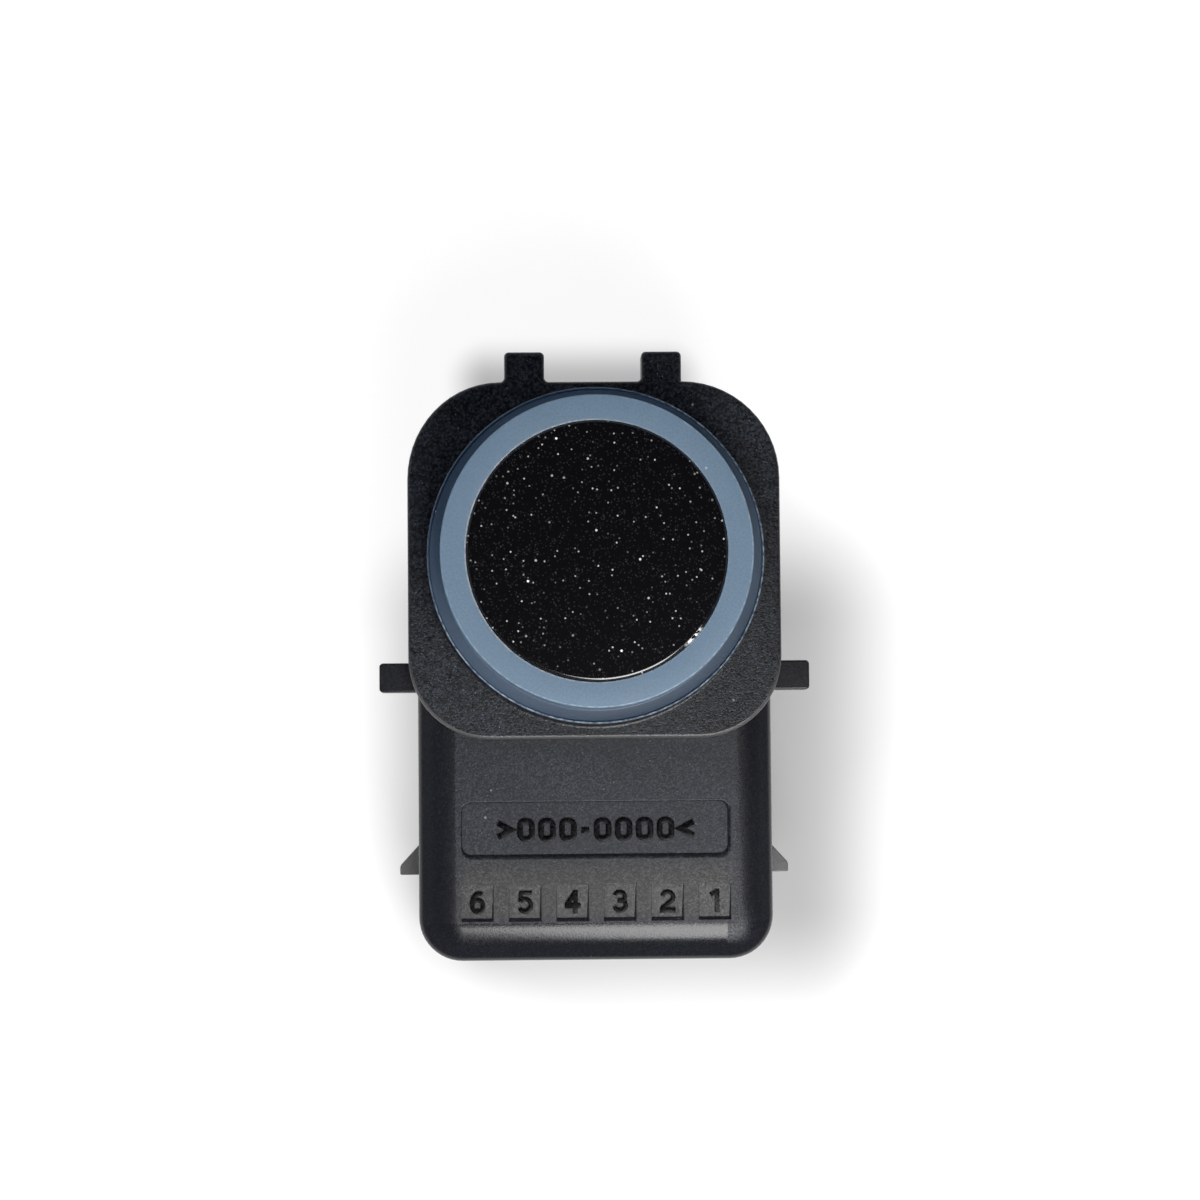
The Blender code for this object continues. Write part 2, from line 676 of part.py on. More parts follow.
def board_parts(finishes, axis):
    """Drum-core transformer and the soldered parts on the board's rear side."""
    core = turned((
        (0, CORE_FRONT),
        (CORE_RADIUS, CORE_FRONT),
        (CORE_RADIUS, CORE_FRONT - CORE_PLATE),
        (CORE_POST_RADIUS, CORE_FRONT - CORE_PLATE),
        (CORE_POST_RADIUS, CORE_BACK + CORE_PLATE),
        (CORE_RADIUS, CORE_BACK + CORE_PLATE),
        (CORE_RADIUS, CORE_BACK),
        (0, CORE_BACK),
    ), closed=False, steps=SMALL_ROUND_STEPS)
    winding = turned((
        (CORE_POST_RADIUS + FIT, CORE_FRONT - CORE_PLATE - FIT),
        (WINDING_RADIUS, CORE_FRONT - CORE_PLATE - FIT),
        (WINDING_RADIUS, CORE_BACK + CORE_PLATE + FIT),
        (CORE_POST_RADIUS + FIT, CORE_BACK + CORE_PLATE + FIT),
    ), steps=SMALL_ROUND_STEPS)
    for name, mesh, finish in (
        ("transformer_core", core, "ferrite"), ("transformer_winding", winding, "copper"),
    ):
        bmesh.ops.translate(mesh, vec=(CORE_ACROSS, BOARD_HIGH - CORE_DOWN, 0), verts=mesh.verts)
        place(name, mesh, finishes[finish], axis)

    top = BOARD_BACK - FIT
    for name, (across, down), (length, width, height) in BOARD_PARTS:
        low = BOARD_HIGH - down - width / 2
        outline = box_outline(length, low, low + width, SOLDERED_EDGE, centre=across, steps=2)
        place(name, prism(outline, top - height, top), finishes[name], axis)


def terminals(tin, axis):
    """Bent square pins, numbered from the right as seen from the sensing side."""
    outline = terminal_outline(0, TERMINAL_RECESS, BOARD_BACK - TERMINAL_TAIL)
    for number, x in enumerate(terminal_places(), start=1):
        pin = side_prism(outline, x - TERMINAL_SIZE / 2, x + TERMINAL_SIZE / 2)
        place(f"terminal_{number}", pin, tin, axis)


def potting(resin, axis):
    """Cured resin across the well, set back from the rear rim."""
    outline = box_outline(WELL_WIDTH - 2 * FIT, WELL_LOW + FIT, WELL_HIGH - FIT, WELL_CORNER - FIT)
    slab = prism(outline, POTTING_RECESS, POTTING_FRONT)
    place("potting", slab, resin, axis)


def build():
    """The whole sensor."""
    clear_scene()
    axis = bpy.data.objects.new("sensing_axis", None)
    axis.location = (0, AXIS_PLACE * MM, 0)
    bpy.context.scene.collection.objects.link(axis)

    black = material("black_plastic", (0.016, 0.017, 0.019), 0.55)
    finishes = {
        "ceramic": material("piezo_ceramic", (0.62, 0.58, 0.46), 0.6),
        "foam": material("foam", (0.08, 0.08, 0.09), 0.95),
        "filler": material("filler_silicone", (0.42, 0.42, 0.4), 0.5),
        "ferrite": material("ferrite", (0.05, 0.05, 0.055), 0.5),
        "copper": material("copper_wire", (0.6, 0.26, 0.13), 0.35, 1.0),
        "driver_chip": material("chip_resin", (0.02, 0.02, 0.022), 0.5),
        "storage_capacitor": material("tantalum_resin", (0.5, 0.3, 0.06), 0.5),
        "tuning_capacitor": material("capacitor_ceramic", (0.4, 0.28, 0.17), 0.5),
        "filter_capacitor": material("capacitor_ceramic_pale", (0.44, 0.33, 0.22), 0.5),
        "bleed_resistor": material("resistor_glaze", (0.03, 0.03, 0.035), 0.4),
    }
    rear_housing(black, axis)
    front_bezel(black, axis)
    decoupling_ring(material("blue_grey_silicone", (0.16, 0.23, 0.3), 0.5), axis)
    membrane_pot(material("black_paint", (0.006, 0.006, 0.007), 0.15), axis)
    inside_pot(finishes, axis)
    leads(finishes["copper"], axis)
    circuit_board(material("green_laminate", (0.03, 0.16, 0.07), 0.45), axis)
    board_parts(finishes, axis)
    terminals(material("tinned_brass", (0.75, 0.74, 0.7), 0.3, 1.0), axis)
    potting(material("potting_resin", (0.012, 0.012, 0.013), 0.2), axis)


build()
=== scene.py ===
# %% [markdown]
# # A parking sensor, dressed
#
# The object is a small ultrasonic parking sensor that lies on its back. Its solids are packed
# already, so this lesson is about looks: finer meshes for the pieces that can be seen, a procedural
# finish for every piece, and a plain pale studio with one lamp low at the front.
#
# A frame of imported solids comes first, because every later piece takes its place from it. Nothing in
# the frame is moved or reshaped. A solid is either given a better finish, or hidden behind a finer
# piece that stands for it.

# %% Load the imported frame
import math

import bmesh
import bpy
from mathutils import Matrix, Vector


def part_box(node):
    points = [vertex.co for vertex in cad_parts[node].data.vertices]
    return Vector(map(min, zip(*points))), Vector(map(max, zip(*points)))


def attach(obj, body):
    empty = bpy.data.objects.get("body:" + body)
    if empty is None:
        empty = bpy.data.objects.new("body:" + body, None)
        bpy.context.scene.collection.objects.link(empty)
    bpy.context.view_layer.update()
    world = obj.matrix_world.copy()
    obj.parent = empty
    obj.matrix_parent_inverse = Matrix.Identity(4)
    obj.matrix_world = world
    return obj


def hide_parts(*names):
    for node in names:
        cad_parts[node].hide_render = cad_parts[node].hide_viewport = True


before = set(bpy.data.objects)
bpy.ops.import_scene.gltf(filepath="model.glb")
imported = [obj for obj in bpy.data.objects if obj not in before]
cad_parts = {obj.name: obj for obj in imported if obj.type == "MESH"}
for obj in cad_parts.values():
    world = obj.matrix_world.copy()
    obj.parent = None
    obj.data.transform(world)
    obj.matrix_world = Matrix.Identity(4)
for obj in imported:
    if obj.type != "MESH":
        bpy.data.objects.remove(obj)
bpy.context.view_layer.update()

print("nodes in the frame:", len(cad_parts))

# %% [markdown]
# ## Working units
#
# The sensor is under 40 mm long, so shapes are drawn in millimetres round its sensing axis, where
# the sizes are easy to read, and each finished mesh is then scaled to metres and moved to the axis.
# The axis and the main heights are read from the frame's boxes, so the finer pieces follow the
# solids. Only sizes that no box gives are written here.

# %% Main sizes, in millimetres from the sensing axis
MM = 0.001


def heights(name):
    """Lowest and highest point of a node, in millimetres."""
    low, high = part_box(name)
    return low.z / MM, high.z / MM


def half_width(name):
    """Half the width of a node along X, in millimetres."""
    low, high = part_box(name)
    return (high.x - low.x) / 2 / MM


ring_low, ring_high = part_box("decoupling_ring")
AXIS = Vector((0, (ring_low.y + ring_high.y) / 2, 0))
housing_low, housing_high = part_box("rear_housing")
bezel_low, bezel_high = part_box("front_bezel")
potting_low, potting_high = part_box("potting")


def from_axis(y):
    """A Y of the frame, measured from the sensing axis in millimetres."""
    return (y - AXIS.y) / MM


RING_BACK, RING_TOP = heights("decoupling_ring")
POT_BACK, POT_TOP = heights("membrane_pot")
COLLAR_TOP = heights("front_bezel")[1]
SPIGOT_BACK = heights("front_bezel")[0]
SEAT_TOP = heights("rear_housing")[1]
COLLAR_RADIUS = half_width("decoupling_ring")
FLANGE_HALF = half_width("front_bezel")
BODY_BOTTOM = from_axis(housing_low.y)
BODY_TOP = from_axis(housing_high.y)
TOP_TAB_TIP = from_axis(bezel_high.y)
FLANGE_LOW = from_axis(bezel_low.y)
SIDE_TAB_TIP = half_width("rear_housing")

COLLAR_HEIGHT = 3.5
FLANGE_FRONT = COLLAR_TOP - COLLAR_HEIGHT
BODY_FACE = 14.5
BODY_HALF = 11.35
BODY_FILLET = 2.4
print("sensing axis at y =", round(AXIS.y / MM, 2), "mm, flange front at z =", round(FLANGE_FRONT, 2))

# %% [markdown]
# ## Outlines
#
# Nearly every form here is a moulding: an outline with rounded corners, raised to a height, or a
# profile turned about an axis. A vertex bevel on one flat face rounds its corners with true arcs,
# so a corner needs only its point and its radius.

# %% Round the corners of a flat face


def outline(corners, steps=8):
    """Flat face through corners (x, y, radius), with each corner rounded by a vertex bevel."""
    shape = bmesh.new()
    verts = [shape.verts.new((x, y, 0)) for x, y, radius in corners]
    shape.faces.new(verts)
    for vert, (x, y, radius) in zip(verts, corners):
        if radius:
            bmesh.ops.bevel(
                shape, geom=[vert], offset=radius, offset_type="OFFSET", segments=steps,
                profile=0.5, affect="VERTICES", clamp_overlap=False, material=-1,
            )
    bmesh.ops.remove_doubles(shape, verts=shape.verts, dist=1e-4)
    return shape


def rounded_box(left, right, low, high, radius):
    """The corners of a rectangle with one radius, for outline()."""
    return [(left, low, radius), (right, low, radius), (right, high, radius), (left, high, radius)]


# %% [markdown]
# ## Raising and turning
#
# Extruding the face gives the moulding's walls. For a round piece the same outline is read as a
# half section: its face is dropped, the edge that lies on the axis with it, and the rest is spun.
# Spin can leave a shape inside out, so its normals are worked out again once its seam is merged.

# %% Raise an outline, or turn it about the sensing axis
ROUND_STEPS = 192


def lift(shape, made, distance):
    """Move up the points that an extrusion made."""
    verts = [item for item in made["geom"] if isinstance(item, bmesh.types.BMVert)]
    bmesh.ops.translate(shape, vec=(0, 0, distance), verts=verts)


def raised(shape, low, high):
    """Extrude a flat outline from one height to another."""
    lift(shape, bmesh.ops.extrude_face_region(shape, geom=list(shape.faces)), high - low)
    bmesh.ops.translate(shape, vec=(0, 0, low), verts=shape.verts)
    bmesh.ops.recalc_face_normals(shape, faces=shape.faces)
    return shape


def turned(section, steps=ROUND_STEPS):
    """Spin a half section, drawn as (radius, height, corner radius), about the axis."""
    shape = outline(section, steps=5)
    bmesh.ops.delete(shape, geom=list(shape.faces), context="FACES_ONLY")
    on_axis = [edge for edge in shape.edges if all(vert.co.x < 1e-4 for vert in edge.verts)]
    bmesh.ops.delete(shape, geom=on_axis, context="EDGES")
    upright = Matrix.Rotation(math.pi / 2, 4, "X")
    bmesh.ops.transform(shape, matrix=upright, verts=shape.verts)
    bmesh.ops.spin(
        shape, geom=shape.verts[:] + shape.edges[:], cent=(0, 0, 0), axis=(0, 0, 1),
        angle=2 * math.pi, steps=steps, use_merge=True,
    )
    bmesh.ops.remove_doubles(shape, verts=shape.verts, dist=1e-4)
    bmesh.ops.recalc_face_normals(shape, faces=shape.faces)
    return shape


def moulded(corners, low, high, steps=8):
    """Outline with rounded corners, raised from one height to another."""
    return raised(outline(corners, steps), low, high)


def disc(radius, steps):
    """Flat round face about the sensing axis."""
    shape = bmesh.new()
    bmesh.ops.create_circle(shape, cap_ends=True, radius=radius, segments=steps)
    return shape


# %% [markdown]
# ## Softened edges
#
# No moulded edge is razor sharp, and the thin line of light along an edge tells the eye how large
# the object is. Each edge is picked by a rule, such as all edges at one height, and gets a narrow
# round bevel. The bevel is held back where shapes are tight, unless there is room all round.

# %% Bevel the edges that a rule picks


def soften(shape, width, steps, rule, held=True):
    """Round the edges for which rule(edge) is true; held bevels stop before they overlap."""
    picked = [edge for edge in shape.edges if rule(edge)]
    bmesh.ops.bevel(
        shape, geom=picked, offset=width, offset_type="OFFSET", segments=steps,
        profile=0.5, affect="EDGES", clamp_overlap=held, material=-1,
    )
    return shape


def at_height(height):
    """Rule for edges that lie flat at one height."""
    return lambda edge: all(abs(vert.co.z - height) < 1e-3 for vert in edge.verts)


def sharp(edge, angle=math.radians(50)):
    """Rule for edges between two faces that meet at a clear angle."""
    return len(edge.link_faces) == 2 and edge.calc_face_angle(0) > angle


def sharp_at(height):
    """Rule for the sharp edges at one height."""
    level = at_height(height)
    return lambda edge: level(edge) and sharp(edge)


# %% [markdown]
# ## Joining and cutting
#
# A housing is an outer form plus tabs and less hollows. Boolean modifiers with the exact solver do
# both, and the result is written back into the mesh at once, so that the next step can pick and
# soften its new edges.

# %% Turn a shape into an object, and combine two shapes


def as_object(name, shape):
    """Put a bmesh into a new object in the scene."""
    mesh = bpy.data.meshes.new(name)
    shape.to_mesh(mesh)
    shape.free()
    piece = bpy.data.objects.new(name, mesh)
    bpy.context.scene.collection.objects.link(piece)
    return piece


def shape_of(piece):
    """Copy a piece's mesh into a bmesh."""
    shape = bmesh.new()
    shape.from_mesh(piece.data)
    return shape


def settle(piece):
    """Write what a piece's modifiers make into its mesh, and remove them."""
    graph = bpy.context.evaluated_depsgraph_get()
    made = bpy.data.meshes.new_from_object(piece.evaluated_get(graph))
    piece.modifiers.clear()
    piece.data = made


def combine(piece, shape, operation):
    """Put a Boolean of a shape on a piece."""
    tool = as_object("tool", shape)
    step = piece.modifiers.new(operation.lower(), "BOOLEAN")
    step.operation = operation
    step.solver = "EXACT"
    step.object = tool
    settle(piece)
    bpy.data.objects.remove(tool, do_unlink=True)


def join(piece, shape):
    """Join a shape to a piece."""
    combine(piece, shape, "UNION")


def cut(piece, shape):
    """Cut a shape away from a piece."""
    combine(piece, shape, "DIFFERENCE")


def soften_piece(piece, width, steps, rule, held=True):
    """Soften the edges of a piece that is an object already."""
    shape = soften(shape_of(piece), width, steps, rule, held)
    shape.to_mesh(piece.data)
    shape.free()


# %% [markdown]
# ## Putting a piece in its place
#
# A finished piece sits at the origin with its place in its mesh, so patterns that read Object
# coordinates line up from piece to piece. Weighted normals keep large flat faces flat beside narrow
# bevels, which smooth shading alone would bend.

# %% Scale, place, shade and attach a finished piece
SMOOTH_BELOW = math.radians(38)


def tell(piece):
    """Print how many faces a piece has by now."""
    print(piece.name, len(piece.data.polygons), "faces")


def finish_piece(piece, finish, nodes=()):
    """Move a millimetre mesh to its place in metres and tie it to the frame."""
    piece.data.transform(Matrix.Translation(AXIS) @ Matrix.Scale(MM, 4))
    piece.data.shade_smooth()
    piece.data.set_sharp_from_angle(angle=SMOOTH_BELOW)
    weigh = piece.modifiers.new("weighted normals", "WEIGHTED_NORMAL")
    weigh.keep_sharp = True
    weigh.weight = 100
    settle(piece)
    piece.data.materials.clear()
    piece.data.materials.append(finish)
    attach(piece, "root")
    if nodes:
        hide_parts(*nodes)
    tell(piece)
    return piece


# %% [markdown]
# ## Node helpers
#
# A finish is a small network of nodes. These helpers add a node, set its plain values and link what
# feeds it in one call, so that each finish below reads as a recipe. Masks are numbers from 0 to 1,
# so that one mask can be held back by multiplying it with another.

# %% Add shader nodes


def feed(tree, node, inputs):
    """Link or set a node's inputs by name or number."""
    for key, value in inputs.items():
        if isinstance(value, bpy.types.NodeSocket):
            tree.links.new(value, node.inputs[key])
        else:
            node.inputs[key].default_value = value
    return node


def add(tree, kind, inputs, **settings):
    """Add a node, set its properties, then feed its inputs."""
    made = tree.nodes.new("ShaderNode" + kind)
    for key, value in settings.items():
        setattr(made, key, value)
    return feed(tree, made, inputs)


def math_of(tree, operation, first, second=0.0, third=0.0):
    """Output of a Math node."""
    return add(tree, "Math", {0: first, 1: second, 2: third}, operation=operation).outputs[0]


def vector_of(tree, operation, first, second=(0, 0, 0)):
    """Output of a Vector Math node: a number for a length or a distance, or else a vector."""
    made = add(tree, "VectorMath", {0: first, 1: second}, operation=operation)
    return made.outputs["Value" if operation in ("LENGTH", "DISTANCE") else 0]


def scaled(tree, value, factor, offset):
    """Value times a factor plus an offset."""
    return math_of(tree, "MULTIPLY_ADD", value, factor, offset)


def times(tree, first, *others):
    """Product of all the values."""
    for other in others:
        first = math_of(tree, "MULTIPLY", first, other)
    return first


def rest_of(tree, mask):
    """What a mask leaves out."""
    return math_of(tree, "SUBTRACT", 1.0, mask)


def between(tree, value, low, high, out_low=0.0, out_high=1.0):
    """Value as a smooth step from low to high."""
    inputs = {"Value": value, "From Min": low, "From Max": high, "To Min": out_low, "To Max": out_high}
    return add(tree, "MapRange", inputs, interpolation_type="SMOOTHSTEP").outputs["Result"]


def fading(tree, value, low, high):
    """Smooth step that falls from one at low to zero at high."""
    return between(tree, value, low, high, 1.0, 0.0)


def mixed(tree, share, first, second):
    """Number mixed from first to second."""
    return add(tree, "Mix", {0: share, 2: first, 3: second}).outputs[0]


def tint(tree, share, first, second):
    """Colour mixed from first to second; each is a socket or three numbers."""
    first, second = [(*end, 1) if isinstance(end, tuple) else end for end in (first, second)]
    return add(tree, "Mix", {0: share, 6: first, 7: second}, data_type="RGBA").outputs[2]


def over(tree, base, colour, *masks):
    """Colour laid over a base where all the masks are one."""
    return tint(tree, times(tree, *masks), base, colour)


def relief(tree, height, depth):
    """Normal from a height of 0 to 1 that stands for a depth in millimetres."""
    inputs = {"Height": height, "Distance": depth * MM, "Strength": 1.0}
    return add(tree, "Bump", inputs).outputs["Normal"]


# %% Places and patterns


def object_place(tree):
    """Place of the shaded point in metres."""
    return add(tree, "TexCoord", {}).outputs["Object"]


def parts_of(tree, vector):
    """The parts X, Y and Z of a vector."""
    return add(tree, "SeparateXYZ", {"Vector": vector}).outputs


def in_mm(tree, vector):
    """A vector in metres, as millimetres."""
    return vector_of(tree, "MULTIPLY", vector, (1 / MM, 1 / MM, 1 / MM))


def from_axis_mm(tree):
    """Offset of the shaded point from the foot of the sensing axis, in millimetres."""
    return in_mm(tree, vector_of(tree, "SUBTRACT", object_place(tree), AXIS))


def flat_from_axis(tree):
    """The same offset without its height, and its length."""
    flat = vector_of(tree, "MULTIPLY", from_axis_mm(tree), (1, 1, 0))
    return flat, vector_of(tree, "LENGTH", flat)


def noise(tree, place, scale, detail, roughness=0.5):
    """Smooth random value from 0 to 1."""
    inputs = {"Vector": place, "Scale": scale, "Detail": detail, "Roughness": roughness}
    return add(tree, "TexNoise", inputs).outputs["Fac"]


def cells_of(tree, place, scale, **settings):
    """Distance in each Voronoi cell, one random value for the cell, and the parts of its colour.

    The plain colour follows the cell's own place, so chosen cells would stand in rows by it.
    """
    cells = add(tree, "TexVoronoi", {"Vector": place, "Scale": scale}, feature="F1", **settings)
    parts = add(tree, "SeparateColor", {"Color": cells.outputs["Color"]}).outputs
    stirred = scaled(tree, parts[0], 17.3, times(tree, parts[1], 9.1))
    random = math_of(tree, "FRACT", scaled(tree, parts[2], 5.7, stirred))
    return cells.outputs["Distance"], random, parts


def chosen(tree, random, share):
    """Mask of the share of cells whose random value is highest."""
    return math_of(tree, "GREATER_THAN", random, rest_of(tree, share))


# %% Groups and materials


def new_group(name, inputs, outputs):
    """Node group with named float inputs and outputs; returns its tree, what it is given and its end."""
    tree = bpy.data.node_groups.new(name, "ShaderNodeTree")
    for label, value in inputs.items():
        socket = tree.interface.new_socket(label, in_out="INPUT", socket_type="NodeSocketFloat")
        socket.default_value = value
    for label in outputs:
        tree.interface.new_socket(label, in_out="OUTPUT", socket_type="NodeSocketFloat")
    start = tree.nodes.new("NodeGroupInput")
    return tree, start.outputs, tree.nodes.new("NodeGroupOutput")


def use_group(tree, group, **values):
    """Place a group in a material and set its named inputs."""
    made = tree.nodes.new("ShaderNodeGroup")
    made.node_tree = group
    return feed(tree, made, {label.replace("_", " "): value for label, value in values.items()}).outputs


def new_finish(name):
    """Material with its tree and its Principled BSDF."""
    finish = bpy.data.materials.new(name)
    finish.use_nodes = True
    return finish, finish.node_tree, finish.node_tree.nodes["Principled BSDF"]


# %% [markdown]
# ## Moulded grain
#
# Glass-filled nylon takes a spark-eroded grain from its mould, and here and there a fibre end lies at
# the surface and glints; the glints are painted highlights, pale specks laid into the colour. One
# group makes the grain and the mask of the glints. Each Voronoi cell is a grain: its distance gives
# the bump, and its random colour gives one value for how pale the grain is and one for how rough.
# Larger cells make the painted glints, where only the few with the highest random value count.

# %% Group: moulded grain


def make_grain_group():
    """Height of the grain, two random values for each grain, a slow tone and a mask of painted glints."""
    inputs = {"Grain Size": 0.12, "Glint Size": 0.25, "Glint Share": 0.04}
    tree, given, end = new_group("moulded grain", inputs, ("Height", "Speck", "Grit", "Tone", "Glint"))
    place = object_place(tree)
    grain_scale = math_of(tree, "DIVIDE", 1 / MM, given["Grain Size"])
    distance, speck, parts = cells_of(tree, place, grain_scale)
    round_top = scaled(tree, distance, -0.5, 0.5)
    lifted = scaled(tree, speck, 0.25, round_top)
    fine = noise(tree, place, grain_scale, 1.0)

    glint_scale = math_of(tree, "DIVIDE", 1 / MM, given["Glint Size"])
    glint_distance, random = cells_of(tree, place, glint_scale)[:2]
    core = fading(tree, glint_distance, 0.12, 0.3)
    feed(tree, end, {
        "Height": scaled(tree, fine, 0.5, lifted),
        "Speck": speck,
        "Grit": parts[0],
        "Tone": noise(tree, place, 160.0, 3.0),
        "Glint": times(tree, chosen(tree, random, given["Glint Share"]), core),
    })
    return tree


grain_group = make_grain_group()
print(grain_group.name, len(grain_group.nodes), "nodes")

# %% [markdown]
# ## Handling marks
#
# A sensor that was taken off a car carries fine dust, a few hair-thin marks and some rubbed patches.
# Dust is a sparse scatter of small pale specks. A hair is a speck whose cell is drawn out, and both
# get ragged edges from a little noise in their place. Rubbing is a slow noise with its middle cut
# out, so it comes and goes. Each finish chooses how much of the three it shows.

# %% Group: handling marks
MARK_WOBBLE = 0.00008
HAIR_SHARE = 0.045


def make_handling_group():
    """Masks for dust specks, for hair-thin marks and for rubbed patches."""
    inputs = {"Dust Size": 0.6, "Dust Share": 0.06}
    tree, given, end = new_group("handling marks", inputs, ("Dust", "Hair", "Rub"))
    place = object_place(tree)
    wobble = add(tree, "TexNoise", {"Vector": place, "Scale": 5200.0, "Detail": 2.0}).outputs["Color"]
    shake = vector_of(tree, "MULTIPLY", wobble, (MARK_WOBBLE, MARK_WOBBLE, MARK_WOBBLE))
    shaken = vector_of(tree, "ADD", place, shake)

    dust_scale = math_of(tree, "DIVIDE", 1 / MM, given["Dust Size"])
    distance, random, parts = cells_of(tree, shaken, dust_scale)
    reach = scaled(tree, parts[1], 0.09, 0.03)
    inside = math_of(tree, "LESS_THAN", distance, reach)
    long_way = {"Vector": shaken, "Rotation": (0.0, 0.0, 0.7), "Scale": (2600.0, 330.0, 900.0)}
    drawn_out = add(tree, "Mapping", long_way).outputs[0]
    hair_distance, hair_random = cells_of(tree, drawn_out, 1.0)[:2]
    thin = fading(tree, hair_distance, 0.06, 0.12)
    slow = noise(tree, place, 420.0, 5.0, 0.7)
    feed(tree, end, {
        "Dust": times(tree, chosen(tree, random, given["Dust Share"]), inside),
        "Hair": times(tree, chosen(tree, hair_random, HAIR_SHARE), thin),
        "Rub": between(tree, slow, 0.55, 0.72),
    })
    return tree


handling_group = make_handling_group()
print(handling_group.name, len(handling_group.nodes), "nodes")

# %% [markdown]
# ## Black nylon, two grains
#
# The bezel and the housing are the same black nylon from two moulds: the bezel's grain is coarse,
# nearly black and full of painted glints, and the housing's is finer and greyer. One recipe with
# different values makes both. Masks tell it where the housing is polished, sunk or scuffed, where its
# lower face is painted paler and its barbs pale grey, both painted light, and where the flange's edge
# gets a painted highlight.

# %% Finish: moulded black nylon
# Pale colour of the glints: a painted highlight on the fibre ends.
PAINTED_GLINT_COLOUR = (0.6, 0.62, 0.66)
DUST_COLOUR = (0.5, 0.5, 0.52)
HAIR_COLOUR = (0.4, 0.4, 0.42)
# Paler colours of the lower face: painted light from the lamp near that end.
PAINTED_LIT_DARK = (0.019, 0.019, 0.019)
PAINTED_LIT_LIGHT = (0.058, 0.057, 0.055)
SMOOTH_COLOUR = (0.0105, 0.0105, 0.0125)
# Pale grey of the barbs: painted light, standing in for how lit they look.
PAINTED_BARB_LIGHT = (0.125, 0.125, 0.125)
# Colour of the painted highlight along the flange's front edge.
PAINTED_EDGE_HIGHLIGHT = (0.085, 0.085, 0.085)
SIDE_ROUGHNESS = 0.3
STRIP_ROUGHNESS = 0.2
SUNK_ROUGHNESS = 0.5


def make_nylon(
    name, dark, light, roughness, grain_size, grain_depth, painted_glint_share, painted_glint_light, specular=0.5,
    zones=None, edges=None,
):
    """Black nylon with grain, painted glints, slow tone and dust; zones and edges make its masks."""
    finish, tree, shader = new_finish(name)
    grain = use_group(tree, grain_group, Grain_Size=grain_size, Glint_Size=0.2, Glint_Share=painted_glint_share)
    marks = use_group(tree, handling_group, Dust_Size=0.9, Dust_Share=0.05)
    tone = between(tree, grain["Tone"], 0.3, 0.7, 0.8, 1.2)
    share = times(tree, math_of(tree, "POWER", grain["Speck"], 2.0), tone)
    base = tint(tree, share, dark, light)
    # Painted highlight: pale glints laid into the colour of a few grains.
    base = over(tree, base, PAINTED_GLINT_COLOUR, grain["Glint"], painted_glint_light)
    base = over(tree, base, DUST_COLOUR, marks["Dust"], 0.35)
    base = over(tree, base, HAIR_COLOUR, marks["Hair"], 0.12)
    rough = scaled(tree, grain["Tone"], 0.08, roughness - 0.04)
    rough = scaled(tree, math_of(tree, "SUBTRACT", grain["Grit"], 0.5), 0.2, rough)
    height = grain["Height"]
    if zones:
        smooth, strip, sunk, low, barb = zones(tree)
        # Painted light: the lower end of the face, near the lamp, is painted paler.
        base = over(tree, base, tint(tree, share, PAINTED_LIT_DARK, PAINTED_LIT_LIGHT), low)
        base = over(tree, base, SMOOTH_COLOUR, smooth, 0.75)
        # Painted light: the barbs are painted pale grey.
        base = over(tree, base, PAINTED_BARB_LIGHT, barb)
        rough = scaled(tree, sunk, SUNK_ROUGHNESS - roughness, rough)
        polish = mixed(tree, strip, SIDE_ROUGHNESS - 0.03, STRIP_ROUGHNESS - 0.03)
        polish = scaled(tree, grain["Grit"], 0.06, polish)
        rough = mixed(tree, smooth, rough, polish)
        height = mixed(tree, times(tree, smooth, 0.6), height, 0.5)
    if edges:
        # Painted highlight along the flange's front edge, strongest at the end that faces the lamp.
        base = over(tree, base, PAINTED_EDGE_HIGHLIGHT, edges(tree))
    feed(tree, shader, {
        "Base Color": base,
        "Roughness": rough,
        "Normal": relief(tree, height, grain_depth),
        "Specular IOR Level": specular,
    })
    return finish


# %% Masks of the housing and of the flange's edge
STRIP_END = 8.35
BARB_BELOW = 10.0
PAINTED_LIT_START = -18.0
PAINTED_LIT_END = -20.6


